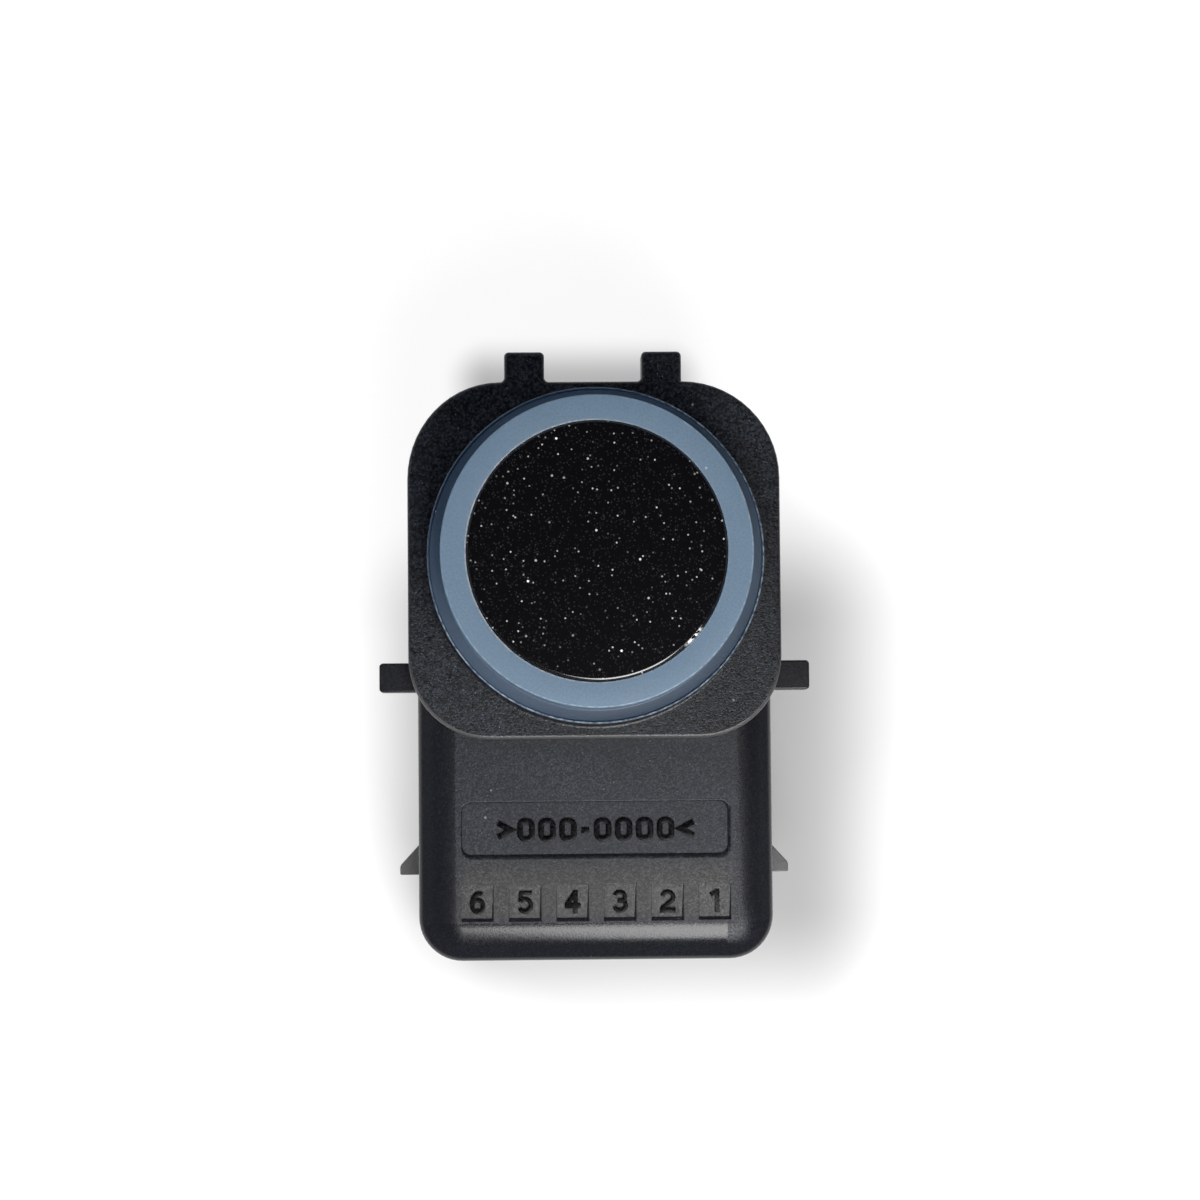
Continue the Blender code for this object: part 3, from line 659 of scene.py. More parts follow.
def housing_zones(tree):
    """Masks: smooth crown, its end, recess floors, the lower face and the barbs, both for painted light.
    """
    parts = parts_of(tree, from_axis_mm(tree))
    ragged = noise(tree, object_place(tree), 7000.0, 2.0)
    shift = scaled(tree, ragged, 0.4, -0.2)
    across = math_of(tree, "ABSOLUTE", parts["X"])
    below = math_of(tree, "SUBTRACT", BODY_FACE, parts["Z"])
    past_side = math_of(tree, "SUBTRACT", across, BODY_HALF - BODY_FILLET)
    past_end = math_of(tree, "SUBTRACT", BODY_BOTTOM + BODY_FILLET + 0.05, parts["Y"])
    past = math_of(tree, "ADD", math_of(tree, "MAXIMUM", past_side, past_end), shift)

    from_strip = math_of(tree, "SUBTRACT", parts["X"], STRIP_END)
    matt_corner = times(
        tree,
        between(tree, from_strip, -0.02, 0.03),
        fading(tree, from_strip, 0.4, 2.3),
        between(tree, past_end, -1.4, 0.1),
        fading(tree, past_end, 0.9, 1.7),
    )
    outboard = between(tree, across, BODY_HALF + 0.02, BODY_HALF + 0.06)
    barb = times(tree, outboard, fading(tree, parts["Z"], BARB_BELOW, BARB_BELOW + 0.2))
    border = between(tree, parts["X"], 0.0, 8.0, 0.05, 0.3)
    smooth = times(
        tree,
        between(tree, past, -0.03, border),
        rest_of(tree, matt_corner),
        rest_of(tree, barb),
        fading(tree, below, 2.2, 3.4),
    )
    strip = between(tree, past_end, -0.05, 0.05)
    inside = fading(tree, past, -0.1, -0.05)
    sunk = times(tree, between(tree, below, 0.02, 0.05), inside)
    # Where the painted light of the lower face lies.
    low = times(tree, fading(tree, parts["Y"], PAINTED_LIT_END, PAINTED_LIT_START), fading(tree, past, -0.9, 0.3))
    return smooth, strip, sunk, low, barb


def flange_edge_highlight(tree):
    """Mask of a painted highlight on the flange's rounded front edge, strong at the socket end."""
    parts = parts_of(tree, from_axis_mm(tree))
    above = math_of(tree, "SUBTRACT", parts["Z"], FLANGE_FRONT)
    return times(
        tree,
        between(tree, above, -0.34, -0.22),
        fading(tree, above, -0.015, -0.002),
        between(tree, parts["Y"], -9.0, -5.0, 0.9, 0.1),
    )


# %% Three nylons
bezel_nylon = make_nylon(
    "bezel_nylon", dark=(0.003, 0.003, 0.004), light=(0.026, 0.032, 0.044), roughness=0.37,
    grain_size=0.115, grain_depth=0.02, painted_glint_share=0.08, painted_glint_light=0.16, edges=flange_edge_highlight,
)
housing_nylon = make_nylon(
    "housing_nylon", dark=(0.005, 0.0062, 0.0105), light=(0.029, 0.033, 0.044), roughness=0.46,
    grain_size=0.1, grain_depth=0.012, painted_glint_share=0.05, painted_glint_light=0.12, specular=0.42,
    zones=housing_zones,
)
number_nylon = make_nylon(
    "number_nylon", dark=(0.0015, 0.0015, 0.002), light=(0.008, 0.008, 0.009), roughness=0.3,
    grain_size=0.14, grain_depth=0.004, painted_glint_share=0.0, painted_glint_light=0.0, specular=0.1,
)
print("nylons:", bezel_nylon.name, housing_nylon.name, number_nylon.name)

# %% [markdown]
# ## The membrane pot
#
# The round face is the closed end of a drawn aluminium cup. It is turned, because it is round, and
# its rim has a real radius, which catches the bright crescent at the front. The oblong hollow behind
# the face is cut afterwards: it is what makes the sound spread wide and flat.

# %% Model the membrane pot
POT_RADIUS = 8.0
POT_RIM = 0.24
# Place and reach of the painted highlight on the rim.
RIM_HIGHLIGHT_TURN = math.radians(-42)
RIM_HIGHLIGHT_REACH = 0.95
POT_FOOT_RADIUS = half_width("membrane_pot")
POT_FOOT_HEIGHT = 1.2
MEMBRANE = 0.75
HOLLOW_HALF_LENGTH = 6.8
HOLLOW_HALF_WIDTH = 4.5

foot_top = POT_BACK + POT_FOOT_HEIGHT
pot_section = [
    (0, POT_TOP, 0),
    (0, POT_BACK, 0),
    (POT_FOOT_RADIUS, POT_BACK, 0.08),
    (POT_FOOT_RADIUS, foot_top, 0.08),
    (POT_RADIUS, foot_top, 0),
    (POT_RADIUS, POT_TOP, POT_RIM),
]
pot = as_object("membrane_cup", turned(pot_section))
hollow_corner = HOLLOW_HALF_WIDTH * 0.999
hollow_box = rounded_box(
    -HOLLOW_HALF_LENGTH, HOLLOW_HALF_LENGTH, -HOLLOW_HALF_WIDTH, HOLLOW_HALF_WIDTH, hollow_corner,
)
cut(pot, moulded(hollow_box, POT_BACK - 1, POT_TOP - MEMBRANE, steps=16))
tell(pot)

# %% [markdown]
# ## Flake paint
#
# The face is painted deep gloss black with a scatter of tiny flakes, like a night sky. Flakes are the
# cores of flat Voronoi cells, chosen by each cell's random value, in three sizes: a fine dust, many
# faint ones and a few bright ones. A clear coat lies over them, so the face mirrors its surroundings,
# while the flakes' sparkle is painted: a pale colour and a faint glow. On a short stretch of the rim a
# painted highlight is laid in the same way, pale and glowing.

# %% Finish: black paint with flakes
PAINT_BLACK = (0.0016, 0.0016, 0.0020)
FLAKE_COLOUR = (0.95, 0.95, 0.92)
# Colour and strength of the painted sparkle: the flakes glow though they are no lamp.
PAINTED_SPARKLE_LIGHT = (1, 1, 0.97)
PAINTED_SPARKLE_GLOW = 0.35


def flakes(tree, place, size, share, radius, fade, light):
    """Mask of round specks of different brightness; sizes are in millimetres."""
    distance, random, parts = cells_of(tree, place, 1 / (size * MM), voronoi_dimensions="2D")
    reach = radius / size
    core = between(tree, distance, reach * 0.5, reach, light, 0.0)
    return times(tree, chosen(tree, random, share), core, math_of(tree, "POWER", parts[2], fade))


def painted_rim_highlight(tree):
    """Mask of the painted highlight on a short stretch of the rim."""
    flat, radius = flat_from_axis(tree)
    middle = Matrix.Rotation(RIM_HIGHLIGHT_TURN, 3, "Z") @ Vector((POT_RADIUS, 0, 0))
    away = vector_of(tree, "DISTANCE", flat, middle)
    near = fading(tree, away, RIM_HIGHLIGHT_REACH * 0.3, RIM_HIGHLIGHT_REACH)
    on_rim = between(tree, radius, POT_RADIUS - 0.22, POT_RADIUS - 0.14)
    broken = between(tree, noise(tree, flat, 4.0, 2.0), 0.42, 0.52)
    return times(tree, near, on_rim, broken)


def make_paint():
    """Gloss black paint, flakes of three sizes under a clear coat; flakes and rim highlight glow."""
    finish, tree, shader = new_finish("flake_paint")
    place = object_place(tree)
    large = flakes(tree, place, size=0.9, share=0.1, radius=0.09, fade=1.0, light=1.0)
    small = flakes(tree, place, size=0.42, share=0.3, radius=0.068, fade=2.4, light=0.5)
    dust = flakes(tree, place, size=0.15, share=0.45, radius=0.06, fade=1.5, light=0.02)
    shine = large
    # Painted highlight: the rim's stretch joins the flakes' painted sparkle.
    for more in (small, dust, painted_rim_highlight(tree)):
        shine = math_of(tree, "ADD", shine, more)
    shine = math_of(tree, "MINIMUM", shine, 1.0)
    feed(tree, shader, {
        "Base Color": tint(tree, shine, PAINT_BLACK, FLAKE_COLOUR),
        # Painted sparkle: the flakes and the rim highlight glow though they are no lamp.
        "Emission Color": tint(tree, shine, (0, 0, 0), PAINTED_SPARKLE_LIGHT),
        "Emission Strength": PAINTED_SPARKLE_GLOW,
        "Roughness": 0.2,
        "Coat Weight": 1.0,
        "Coat Roughness": 0.03,
    })
    return finish


finish_piece(pot, make_paint(), ["membrane_pot"])

# %% [markdown]
# ## The decoupling ring
#
# A soft silicone sleeve holds the pot so that its ringing doesn't reach the housing. Seen from the
# front it has three steps: a flat pale face, a wall down from it, and a thin skirt that covers the
# collar and ends in a fine lip. Below that a thinner sleeve runs down inside the collar and closes
# under the pot's foot. All of it is one turned section.

# %% Model the decoupling ring
FIT = 0.1
RING_FACE_WIDTH = 1.5
SKIRT_THICKNESS = 0.45
LIP_HEIGHT = 0.12
LIP_WIDTH = 0.13
SLEEVE_RADIUS = 8.9
RING_FLOOR = 0.8
GROOVE_OVERLAP = 0.8

ring_inner = POT_RADIUS + 0.012
ring_face = POT_RADIUS + FIT + RING_FACE_WIDTH
skirt_base = COLLAR_TOP + FIT
skirt_top = skirt_base + SKIRT_THICKNESS
lip_top = skirt_top + LIP_HEIGHT
groove = POT_FOOT_RADIUS + FIT
ring_section = [
    (ring_inner, RING_TOP, 0.05),
    (ring_face, RING_TOP, 0.1),
    (ring_face, skirt_top, 0.12),
    (COLLAR_RADIUS - LIP_WIDTH, skirt_top, 0.05),
    (COLLAR_RADIUS - LIP_WIDTH, lip_top, 0.05),
    (COLLAR_RADIUS, lip_top, 0.06),
    (COLLAR_RADIUS, skirt_base, 0.05),
    (SLEEVE_RADIUS, skirt_base, 0),
    (SLEEVE_RADIUS, RING_BACK, 0.1),
    (POT_FOOT_RADIUS - GROOVE_OVERLAP, RING_BACK, 0),
    (POT_FOOT_RADIUS - GROOVE_OVERLAP, RING_BACK + RING_FLOOR, 0),
    (groove, RING_BACK + RING_FLOOR, 0),
    (groove, foot_top + FIT, 0),
    (ring_inner, foot_top + FIT, 0),
]
ring = as_object("silicone_ring", turned(ring_section))
tell(ring)

# %% [markdown]
# ## Silicone
#
# The ring is blue-grey and slightly see-through: where it is thick it looks pale, and where the thin
# skirt lies on the black collar it looks dark. The distance from the sensing axis tells the two
# apart. Some light is let into the surface. The edges carry a painted highlight, a fine pale line
# that comes and goes, strongest where an edge faces the lamp and faint at the upper left, which lies
# in shade. There are a few hair-thin marks.

# %% Finish: blue-grey silicone
FACE_COLOURS = (0.129, 0.196, 0.271), (0.144, 0.214, 0.294)
SKIRT_COLOURS = (0.033, 0.057, 0.096), (0.047, 0.078, 0.126)
GRIT_COLOUR = (0.02, 0.03, 0.05)
SILICONE_DUST = (0.5, 0.55, 0.6)
SILICONE_HAIR = (0.45, 0.52, 0.56)


def make_silicone():
    """Silicone whose thin skirt lets the black below show."""
    finish, tree, shader = new_finish("ring_silicone")
    marks = use_group(tree, handling_group, Dust_Size=0.7, Dust_Share=0.05)
    place = object_place(tree)
    flat, radius = flat_from_axis(tree)
    height = times(tree, parts_of(tree, place)["Z"], 1 / MM)
    cloud = noise(tree, place, 300.0, 3.0)
    skirt = between(tree, radius, ring_face - 0.02, ring_face + 0.12)
    base = tint(tree, skirt, tint(tree, cloud, *FACE_COLOURS), tint(tree, cloud, *SKIRT_COLOURS))
    grit = between(tree, noise(tree, place, 8000.0, 1.0), 0.35, 0.7, 0.0, 0.14)
    base = over(tree, base, GRIT_COLOUR, grit)

    broken = noise(tree, place, 3000.0, 3.0)
    parts = parts_of(tree, flat)
    # Weights of the painted highlights: stronger towards the lamp, faint at the upper left in shade.
    left = between(tree, parts["X"], -5.0, 5.0, 1.0, 0.2)
    upper_left = math_of(tree, "SUBTRACT", parts["Y"], parts["X"])
    away = between(tree, upper_left, 2.0, 11.0, 1.0, 0.1)
    # Painted highlights: pale lines on the ring's edges, one for each edge.
    for inner, outer, top, colour, where, least in (
        (ring_inner - 0.02, ring_inner + 0.11, RING_TOP, (0.33, 0.33, 0.35), left, 0.3),
        (ring_face - 0.13, ring_face + 0.01, RING_TOP, (0.22, 0.31, 0.40), away, 0.1),
        (COLLAR_RADIUS - 0.12, COLLAR_RADIUS + 0.02, lip_top, (0.24, 0.29, 0.34), away, 0.0),
    ):
        base = over(
            tree, base, colour,
            between(tree, radius, inner, inner + 0.05),
            fading(tree, radius, outer - 0.03, outer),
            between(tree, height, top - 0.07, top - 0.03),
            between(tree, broken, 0.38, 0.62, least, 1.0),
            where,
        )
    base = over(tree, base, SILICONE_DUST, marks["Dust"], 0.5)
    base = over(tree, base, SILICONE_HAIR, marks["Hair"], 0.35)
    feed(tree, shader, {
        "Base Color": base,
        "Roughness": scaled(tree, cloud, 0.15, 0.42),
        "Normal": relief(tree, noise(tree, place, 3000.0, 2.0), 0.004),
        "Subsurface Weight": 0.25,
        "Subsurface Radius": (0.4, 0.7, 1.0),
        "Subsurface Scale": 0.6 * MM,
    })
    return finish


finish_piece(ring, make_silicone(), ["decoupling_ring"])

# %% [markdown]
# ## The front bezel
#
# The flange is a rounded square with a tighter radius at its lower corners and two tabs on its upper
# edge. The round collar rises from it, and a spigot plugs into the housing behind. Flange and collar
# are made apart and joined, and then the corner between them gets a small fillet, as a mould has.

# %% Model the front bezel
FLANGE_BACK = FLANGE_FRONT - 1.75
FLANGE_HIGH = 11.37
FLANGE_CORNER_HIGH = 6.2
FLANGE_CORNER_LOW = 5.2
TAB_SPACING = 8.74
TAB_HALF = 1.275
TAB_ROUND = 0.3
EDGE_ROUND = 0.25
BORE_RADIUS = SLEEVE_RADIUS + FIT
SPIGOT_RADIUS = 9.9

flange_corners = [
    (-FLANGE_HALF, FLANGE_LOW, FLANGE_CORNER_LOW),
    (FLANGE_HALF, FLANGE_LOW, FLANGE_CORNER_LOW),
    (FLANGE_HALF, FLANGE_HIGH, FLANGE_CORNER_HIGH),
]
for middle in (TAB_SPACING / 2, -TAB_SPACING / 2):
    flange_corners += [
        (middle + TAB_HALF, FLANGE_HIGH, TAB_ROUND),
        (middle + TAB_HALF, TOP_TAB_TIP, TAB_ROUND),
        (middle - TAB_HALF, TOP_TAB_TIP, TAB_ROUND),
        (middle - TAB_HALF, FLANGE_HIGH, TAB_ROUND),
    ]
flange_corners.append((-FLANGE_HALF, FLANGE_HIGH, FLANGE_CORNER_HIGH))
flange = moulded(flange_corners, FLANGE_BACK, FLANGE_FRONT, steps=14)
soften(flange, EDGE_ROUND, 6, at_height(FLANGE_FRONT), held=False)
soften(flange, 0.08, 2, at_height(FLANGE_BACK))
bezel = as_object("bezel_shell", flange)
hole = disc((BORE_RADIUS + SPIGOT_RADIUS) / 2, ROUND_STEPS)
cut(bezel, raised(hole, FLANGE_BACK - 1, FLANGE_FRONT + 1))

flange_middle = (FLANGE_BACK + FLANGE_FRONT) / 2
collar_section = [
    (BORE_RADIUS, COLLAR_TOP, 0.05),
    (BORE_RADIUS, SPIGOT_BACK, 0),
    (SPIGOT_RADIUS, SPIGOT_BACK, 0.2),
    (SPIGOT_RADIUS, flange_middle, 0),
    (COLLAR_RADIUS, flange_middle, 0),
    (COLLAR_RADIUS, COLLAR_TOP, 0.15),
]
join(bezel, turned(collar_section))


def collar_root(edge):
    """Rule for the circle where the collar leaves the flange."""
    on_circle = all(abs(vert.co.xy.length - COLLAR_RADIUS) < 0.02 for vert in edge.verts)
    return on_circle and at_height(FLANGE_FRONT)(edge)


soften_piece(bezel, 0.25, 4, collar_root, held=False)
finish_piece(bezel, bezel_nylon, ["front_bezel"])

# %% [markdown]
# ## The rear housing: outer form
#
# The housing is one long box with a generous crown round its front face, a raised seat under the
# flange, a flat tab on each side and a barb on each side that snaps into the holder. The crown starts
# as a bevel of the top edges with many segments. Its light tells that it isn't a plain quarter round:
# it turns quickly, runs on as a slope and ends in a small corner, so each ring of points is moved to
# the height that such a profile has there.

# %% Model the housing's outer form
BODY_HIGH_CORNER = 5.5
BODY_LOW_CORNER = 2.8
SEAT_HALF = 11.1
SEAT_INSET = 0.35

body_corners = [
    (-BODY_HALF, BODY_BOTTOM, BODY_LOW_CORNER),
    (BODY_HALF, BODY_BOTTOM, BODY_LOW_CORNER),
    (BODY_HALF, BODY_TOP, BODY_HIGH_CORNER),
    (-BODY_HALF, BODY_TOP, BODY_HIGH_CORNER),
]
CROWN_RADIUS = 2.75
CROWN_TURN = math.radians(33)
CROWN_SLOPE = math.radians(40)
CROWN_CORNER = 0.25


def crown_drop(drop):
    """How far below the face the crown lies where a quarter round would lie at this drop."""
    out = BODY_FILLET * math.sin(math.acos(max(1 - drop / BODY_FILLET, 0)))
    turn_end = CROWN_RADIUS * math.sin(CROWN_TURN)
    slope_end = BODY_FILLET - CROWN_CORNER
    if out <= turn_end:
        return CROWN_RADIUS - math.sqrt(CROWN_RADIUS ** 2 - out ** 2)
    slope = (math.tan(CROWN_TURN) + math.tan(CROWN_SLOPE)) / 2
    level = CROWN_RADIUS * (1 - math.cos(CROWN_TURN)) + slope * (min(out, slope_end) - turn_end)
    share = min(max(out - slope_end, 0) / CROWN_CORNER, 1)
    corner = math.tan(CROWN_SLOPE) * share + 0.9 * (1 - math.sqrt(1 - share ** 2))
    return level + CROWN_CORNER * corner


body = moulded(body_corners, 0, BODY_FACE, steps=12)
soften(body, BODY_FILLET, 16, at_height(BODY_FACE))
for vert in body.verts:
    if vert.co.z > BODY_FACE - BODY_FILLET - 1e-4:
        vert.co.z = BODY_FACE - crown_drop(BODY_FACE - vert.co.z)
soften(body, 0.15, 2, at_height(0))
housing = as_object("housing_shell", body)

seat_box = rounded_box(
    -SEAT_HALF, SEAT_HALF, FLANGE_LOW + SEAT_INSET, BODY_TOP - SEAT_INSET, BODY_HIGH_CORNER - SEAT_INSET,
)
join(housing, moulded(seat_box, BODY_FACE - BODY_FILLET - 1, SEAT_TOP, steps=12))
tell(housing)

# %% [markdown]
# ## Tabs and barbs
#
# The tabs are plain blocks with soft edges. A barb is a ramp that ends in a flat catch, drawn from
# above and raised by its thickness. Both come in pairs, so one loop makes the left and the right.

# %% Add the side tabs and the barbs
SIDE_TAB_LOW = -8.31
SIDE_TAB_HIGH = -6.43
SIDE_TAB_TOP = 14.55
SIDE_TAB_THICKNESS = 1.7
SIDE_TAB_ROUND = 0.25
BARB_TIP = 12.72
BARB_START = -18.0
BARB_PEAK = -19.5
BARB_CATCH = -20.1
BARB_LOW = 6.0
BARB_HIGH = 9.0
ROOT = 10.4

ramp_root = BARB_START + (BARB_START - BARB_PEAK) * (BODY_HALF - ROOT) / (BARB_TIP - BODY_HALF)
for side in (-1, 1):
    ends = sorted((side * ROOT, side * SIDE_TAB_TIP))
    tab_box = rounded_box(*ends, SIDE_TAB_LOW, SIDE_TAB_HIGH, SIDE_TAB_ROUND)
    tab = moulded(tab_box, SIDE_TAB_TOP - SIDE_TAB_THICKNESS, SIDE_TAB_TOP, steps=6)
    soften(tab, 0.12, 3, sharp)
    join(housing, tab)

    barb_corners = [
        (side * ROOT, ramp_root, 0),
        (side * BARB_TIP, BARB_PEAK, 0.15),
        (side * BARB_TIP, BARB_CATCH, 0.1),
        (side * ROOT, BARB_CATCH, 0),
    ]
    barb = moulded(barb_corners, BARB_LOW, BARB_HIGH, steps=4)
    soften(barb, 0.1, 2, sharp)
    join(housing, barb)
tell(housing)

# %% [markdown]
# ## Hollows at the back
#
# Behind the head lies a well for the circuit board, closed with resin, and below it the connector
# socket with its two key ribs and the window for the plug's latch. They are plain cutters with
# rounded corners.

# %% Cut the well, the socket, the latch window and the front pocket
WELL_ROUND = 1.2
WELL_MARGIN = 0.1
WELL_CEILING = 11.2
SOCKET_HALF = 8.75
SOCKET_LOW = BODY_BOTTOM + 1.6
SOCKET_HIGH = SOCKET_LOW + 9.2
SOCKET_DEPTH = 10.9
KEY_HEIGHT = 0.6
KEY_LOW = (SOCKET_LOW + SOCKET_HIGH) / 2 - 3.1
KEY_HIGH = KEY_LOW + 1.0
WINDOW_HALF = 3.2
WINDOW_LOW = 2.4
WINDOW_HIGH = 5.2
POCKET_RADIUS = 10.0
POCKET_FLOOR = SPIGOT_BACK - FIT
LEAD_HOLE_RADIUS = 5.6
BAY_STEP = 0.2
BAY_LENGTH = 2.2
BAY_HEIGHT = 1.4
POST_RADIUS = 0.8
POST_INSET = 1.8
PITCH = 3.03
COUNT = 6
PIN = 0.64
BEND = 0.3

well_half = half_width("potting") + WELL_MARGIN
well_low = from_axis(potting_low.y) - WELL_MARGIN
well_high = from_axis(potting_high.y) + WELL_MARGIN
well_box = rounded_box(-well_half, well_half, well_low, well_high, WELL_ROUND)
cut(housing, moulded(well_box, -1, WELL_CEILING))

bay_high = well_low + BAY_LENGTH
bay_box = rounded_box(BAY_STEP - well_half, well_half - BAY_STEP, well_low + BAY_STEP, bay_high, 0)
cut(housing, moulded(bay_box, WELL_CEILING - 1, WELL_CEILING + BAY_HEIGHT))

socket_corners = [
    (SOCKET_HALF, SOCKET_LOW, 1.0),
    (SOCKET_HALF, KEY_LOW, 0.15),
    (SOCKET_HALF - KEY_HEIGHT, KEY_LOW, 0.15),
    (SOCKET_HALF - KEY_HEIGHT, KEY_HIGH, 0.15),
    (SOCKET_HALF, KEY_HIGH, 0.15),
    (SOCKET_HALF, SOCKET_HIGH, 1.0),
]
socket_corners += [(-x, y, radius) for x, y, radius in reversed(socket_corners)]
cut(housing, moulded(socket_corners, -1, SOCKET_DEPTH, steps=5))

window_box = rounded_box(-WINDOW_HALF, WINDOW_HALF, BODY_BOTTOM - 1, SOCKET_LOW + 1, 0)
cut(housing, moulded(window_box, WINDOW_LOW, WINDOW_HIGH))

for radius, low, high in (
    (POCKET_RADIUS, POCKET_FLOOR, SEAT_TOP + 1),
    (LEAD_HOLE_RADIUS, WELL_CEILING - 1, POCKET_FLOOR + 1),
):
    cut(housing, raised(disc(radius, ROUND_STEPS // 2), low, high))
tell(housing)

# %% [markdown]
# ## Slots and posts
#
# Each terminal runs from the socket up through a slot, across a bay behind the face and down to the
# board, so its slot is its own form grown by the clearance. The side view is drawn once, in a
# function, because the pins themselves are made by it later. Four round posts hold the board.

# %% Cut the terminals' slots and add the board's posts
terminal_places = [(COUNT - 1) / 2 * PITCH - number * PITCH for number in range(COUNT)]
SIDE_ON = Matrix(((0, 0, 1, 0), (1, 0, 0, 0), (0, 1, 0, 0), (0, 0, 0, 1)))


def terminal_shape(number, x, grow, tip, tail, steps):
    """Side view of a terminal between its two ends, grown all round and raised across the pin."""
    low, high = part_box(f"terminal_{number}")
    level = high.z / MM + grow
    left = from_axis(low.y) - grow
    right = from_axis(high.y) + grow
    width = PIN + 2 * grow
    view = [
        (left, tip, 0.0),
        (left + width, tip, 0.0),
        (left + width, level - width, BEND - grow),
        (right - width, level - width, BEND - grow),
        (right - width, tail, 0.0),
        (right, tail, 0.0),
        (right, level, BEND + PIN + grow),
        (left, level, BEND + PIN + grow),
    ]
    shape = moulded(view, x - width / 2, x + width / 2, steps)
    bmesh.ops.transform(shape, matrix=SIDE_ON, verts=shape.verts)
    return shape


for number, x in enumerate(terminal_places, start=1):
    cut(housing, terminal_shape(number, x, FIT, SOCKET_DEPTH - 0.5, WELL_CEILING - 0.5, steps=4))

board_front = heights("circuit_board")[1]
for side in (-1, 1):
    for level in (bay_high + POST_INSET, well_high - POST_INSET):
        post = disc(POST_RADIUS, 32)
        bmesh.ops.translate(post, vec=(side * (well_half - POST_INSET), level, 0), verts=post.verts)
        join(housing, raised(post, board_front + FIT, WELL_CEILING + 0.5))
tell(housing)

# %% [markdown]
# ## Marks on the front face
#
# The lower face carries a shallow recessed plate and a row of six wedge pockets, one for each
# terminal. A wedge starts nearly flush with the face and gets deeper towards the end, so the end of
# its cutter is moved down. The walls at the right and at the end lean in with depth, which shows from
# above as the dark lines beside each recess; the other walls are upright. After the cuts the mouths
# are softened, the plate's more than the pockets'.

# %% Cut the plate recess and the wedge pockets
PLATE_HALF = 8.55
PLATE_LOW = -18.92
PLATE_HIGH = -15.40
PLATE_ROUND = 0.58
PLATE_DEPTH = 0.32
WEDGE_HALF = 1.025
WEDGE_HIGH = -20.64
WEDGE_LOW = -22.97
WEDGE_START = 0.07
WEDGE_DEPTH = 0.32
NUMBER_MIDDLE = -21.75
PLATE_MOUTH = 0.12
WEDGE_MOUTH = 0.05
SIDE_DRAFT = 0.38
END_DRAFT = 0.65
CUT_TOP = BODY_FACE + 0.02


def lean_in(shape, middle_x, middle_y):
    """Lean a cutter's right wall and its end wall in with depth."""
    for vert in shape.verts:
        fall = CUT_TOP - vert.co.z
        if vert.co.x > middle_x:
            vert.co.x -= SIDE_DRAFT * fall
        if vert.co.y < middle_y:
            vert.co.y += END_DRAFT * fall
    return shape


plate_box = rounded_box(-PLATE_HALF, PLATE_HALF, PLATE_LOW, PLATE_HIGH, PLATE_ROUND)
plate_cut = moulded(plate_box, BODY_FACE - PLATE_DEPTH, CUT_TOP, steps=6)
cut(housing, lean_in(plate_cut, 0, (PLATE_LOW + PLATE_HIGH) / 2))

for x in terminal_places:
    wedge_box = rounded_box(x - WEDGE_HALF, x + WEDGE_HALF, WEDGE_LOW, WEDGE_HIGH, 0)
    wedge = moulded(wedge_box, BODY_FACE - WEDGE_START, CUT_TOP)
    for vert in wedge.verts:
        if vert.co.z < BODY_FACE and vert.co.y < NUMBER_MIDDLE:
            vert.co.z = BODY_FACE - WEDGE_DEPTH
    cut(housing, lean_in(wedge, x, NUMBER_MIDDLE))


def recess_mouth(low, high):
    """Rule for the mouths of recesses in the front face between two levels."""
    on_face = sharp_at(BODY_FACE)
    return lambda edge: on_face(edge) and all(
        abs(vert.co.x) < PLATE_HALF + 0.02 and low - 0.02 < vert.co.y < high + 0.02
        for vert in edge.verts
    )


soften_piece(housing, PLATE_MOUTH, 4, recess_mouth(PLATE_LOW, PLATE_HIGH), held=False)
soften_piece(housing, WEDGE_MOUTH, 3, recess_mouth(WEDGE_LOW, WEDGE_HIGH))
finish_piece(housing, housing_nylon, ["rear_housing"])

# %% [markdown]
# ## Strokes
#
# Each pocket carries the number of its terminal. The real numbers are cut into the mould with a
# round tool, so every stroke has one width. A stroke is made the way a wall is: its path is drawn as
# a line, the line is raised into a thin fence, and a Solidify modifier gives the fence its width
# evenly to both sides. Strokes that cross are then joined.

# %% Make a raised stroke along a path
STROKE = 0.28
STROKE_ROUND = 0.035


def arc(centre, radii, start, end, steps=14):
    """Points on an ellipse from one angle to another, in degrees."""
    angles = [math.radians(start + (end - start) * step / steps) for step in range(steps + 1)]
    return [(centre[0] + radii[0] * math.cos(a), centre[1] + radii[1] * math.sin(a)) for a in angles]


def fence(path, low, high, width, closed=False):
    """Object made of one stroke that follows a path, from one height to another."""
    shape = bmesh.new()
    verts = [shape.verts.new((x, y, low)) for x, y in path]
    for first, second in zip(verts, verts[1:]):
        shape.edges.new((first, second))
    if closed:
        shape.edges.new((verts[-1], verts[0]))
    lift(shape, bmesh.ops.extrude_edge_only(shape, edges=list(shape.edges)), high - low)
    bmesh.ops.recalc_face_normals(shape, faces=shape.faces)
    piece = as_object("stroke", shape)
    widen = piece.modifiers.new("width", "SOLIDIFY")
    widen.thickness = width
    widen.offset = 0
    widen.use_even_offset = True
    settle(piece)
    return piece


def join_strokes(name, strokes):
    """Join the strokes of a mark into one piece."""
    whole = strokes[0]
    whole.name = name
    for extra in strokes[1:]:
        shape = shape_of(extra)
        bpy.data.objects.remove(extra, do_unlink=True)
        join(whole, shape)
    return whole


# %% [markdown]
# ## Raised numbers
#
# A number is given as the paths of its strokes, in millimetres from its own middle. Its top lies
# level with the face round the pocket, less a little, and its foot reaches into the sloping floor.

# %% Model the numbers
NUMBER_HALF = 0.745
NUMBER_TOP = BODY_FACE - 0.02
NUMBER_FOOT = BODY_FACE - 0.3
wall = NUMBER_HALF - STROKE / 2

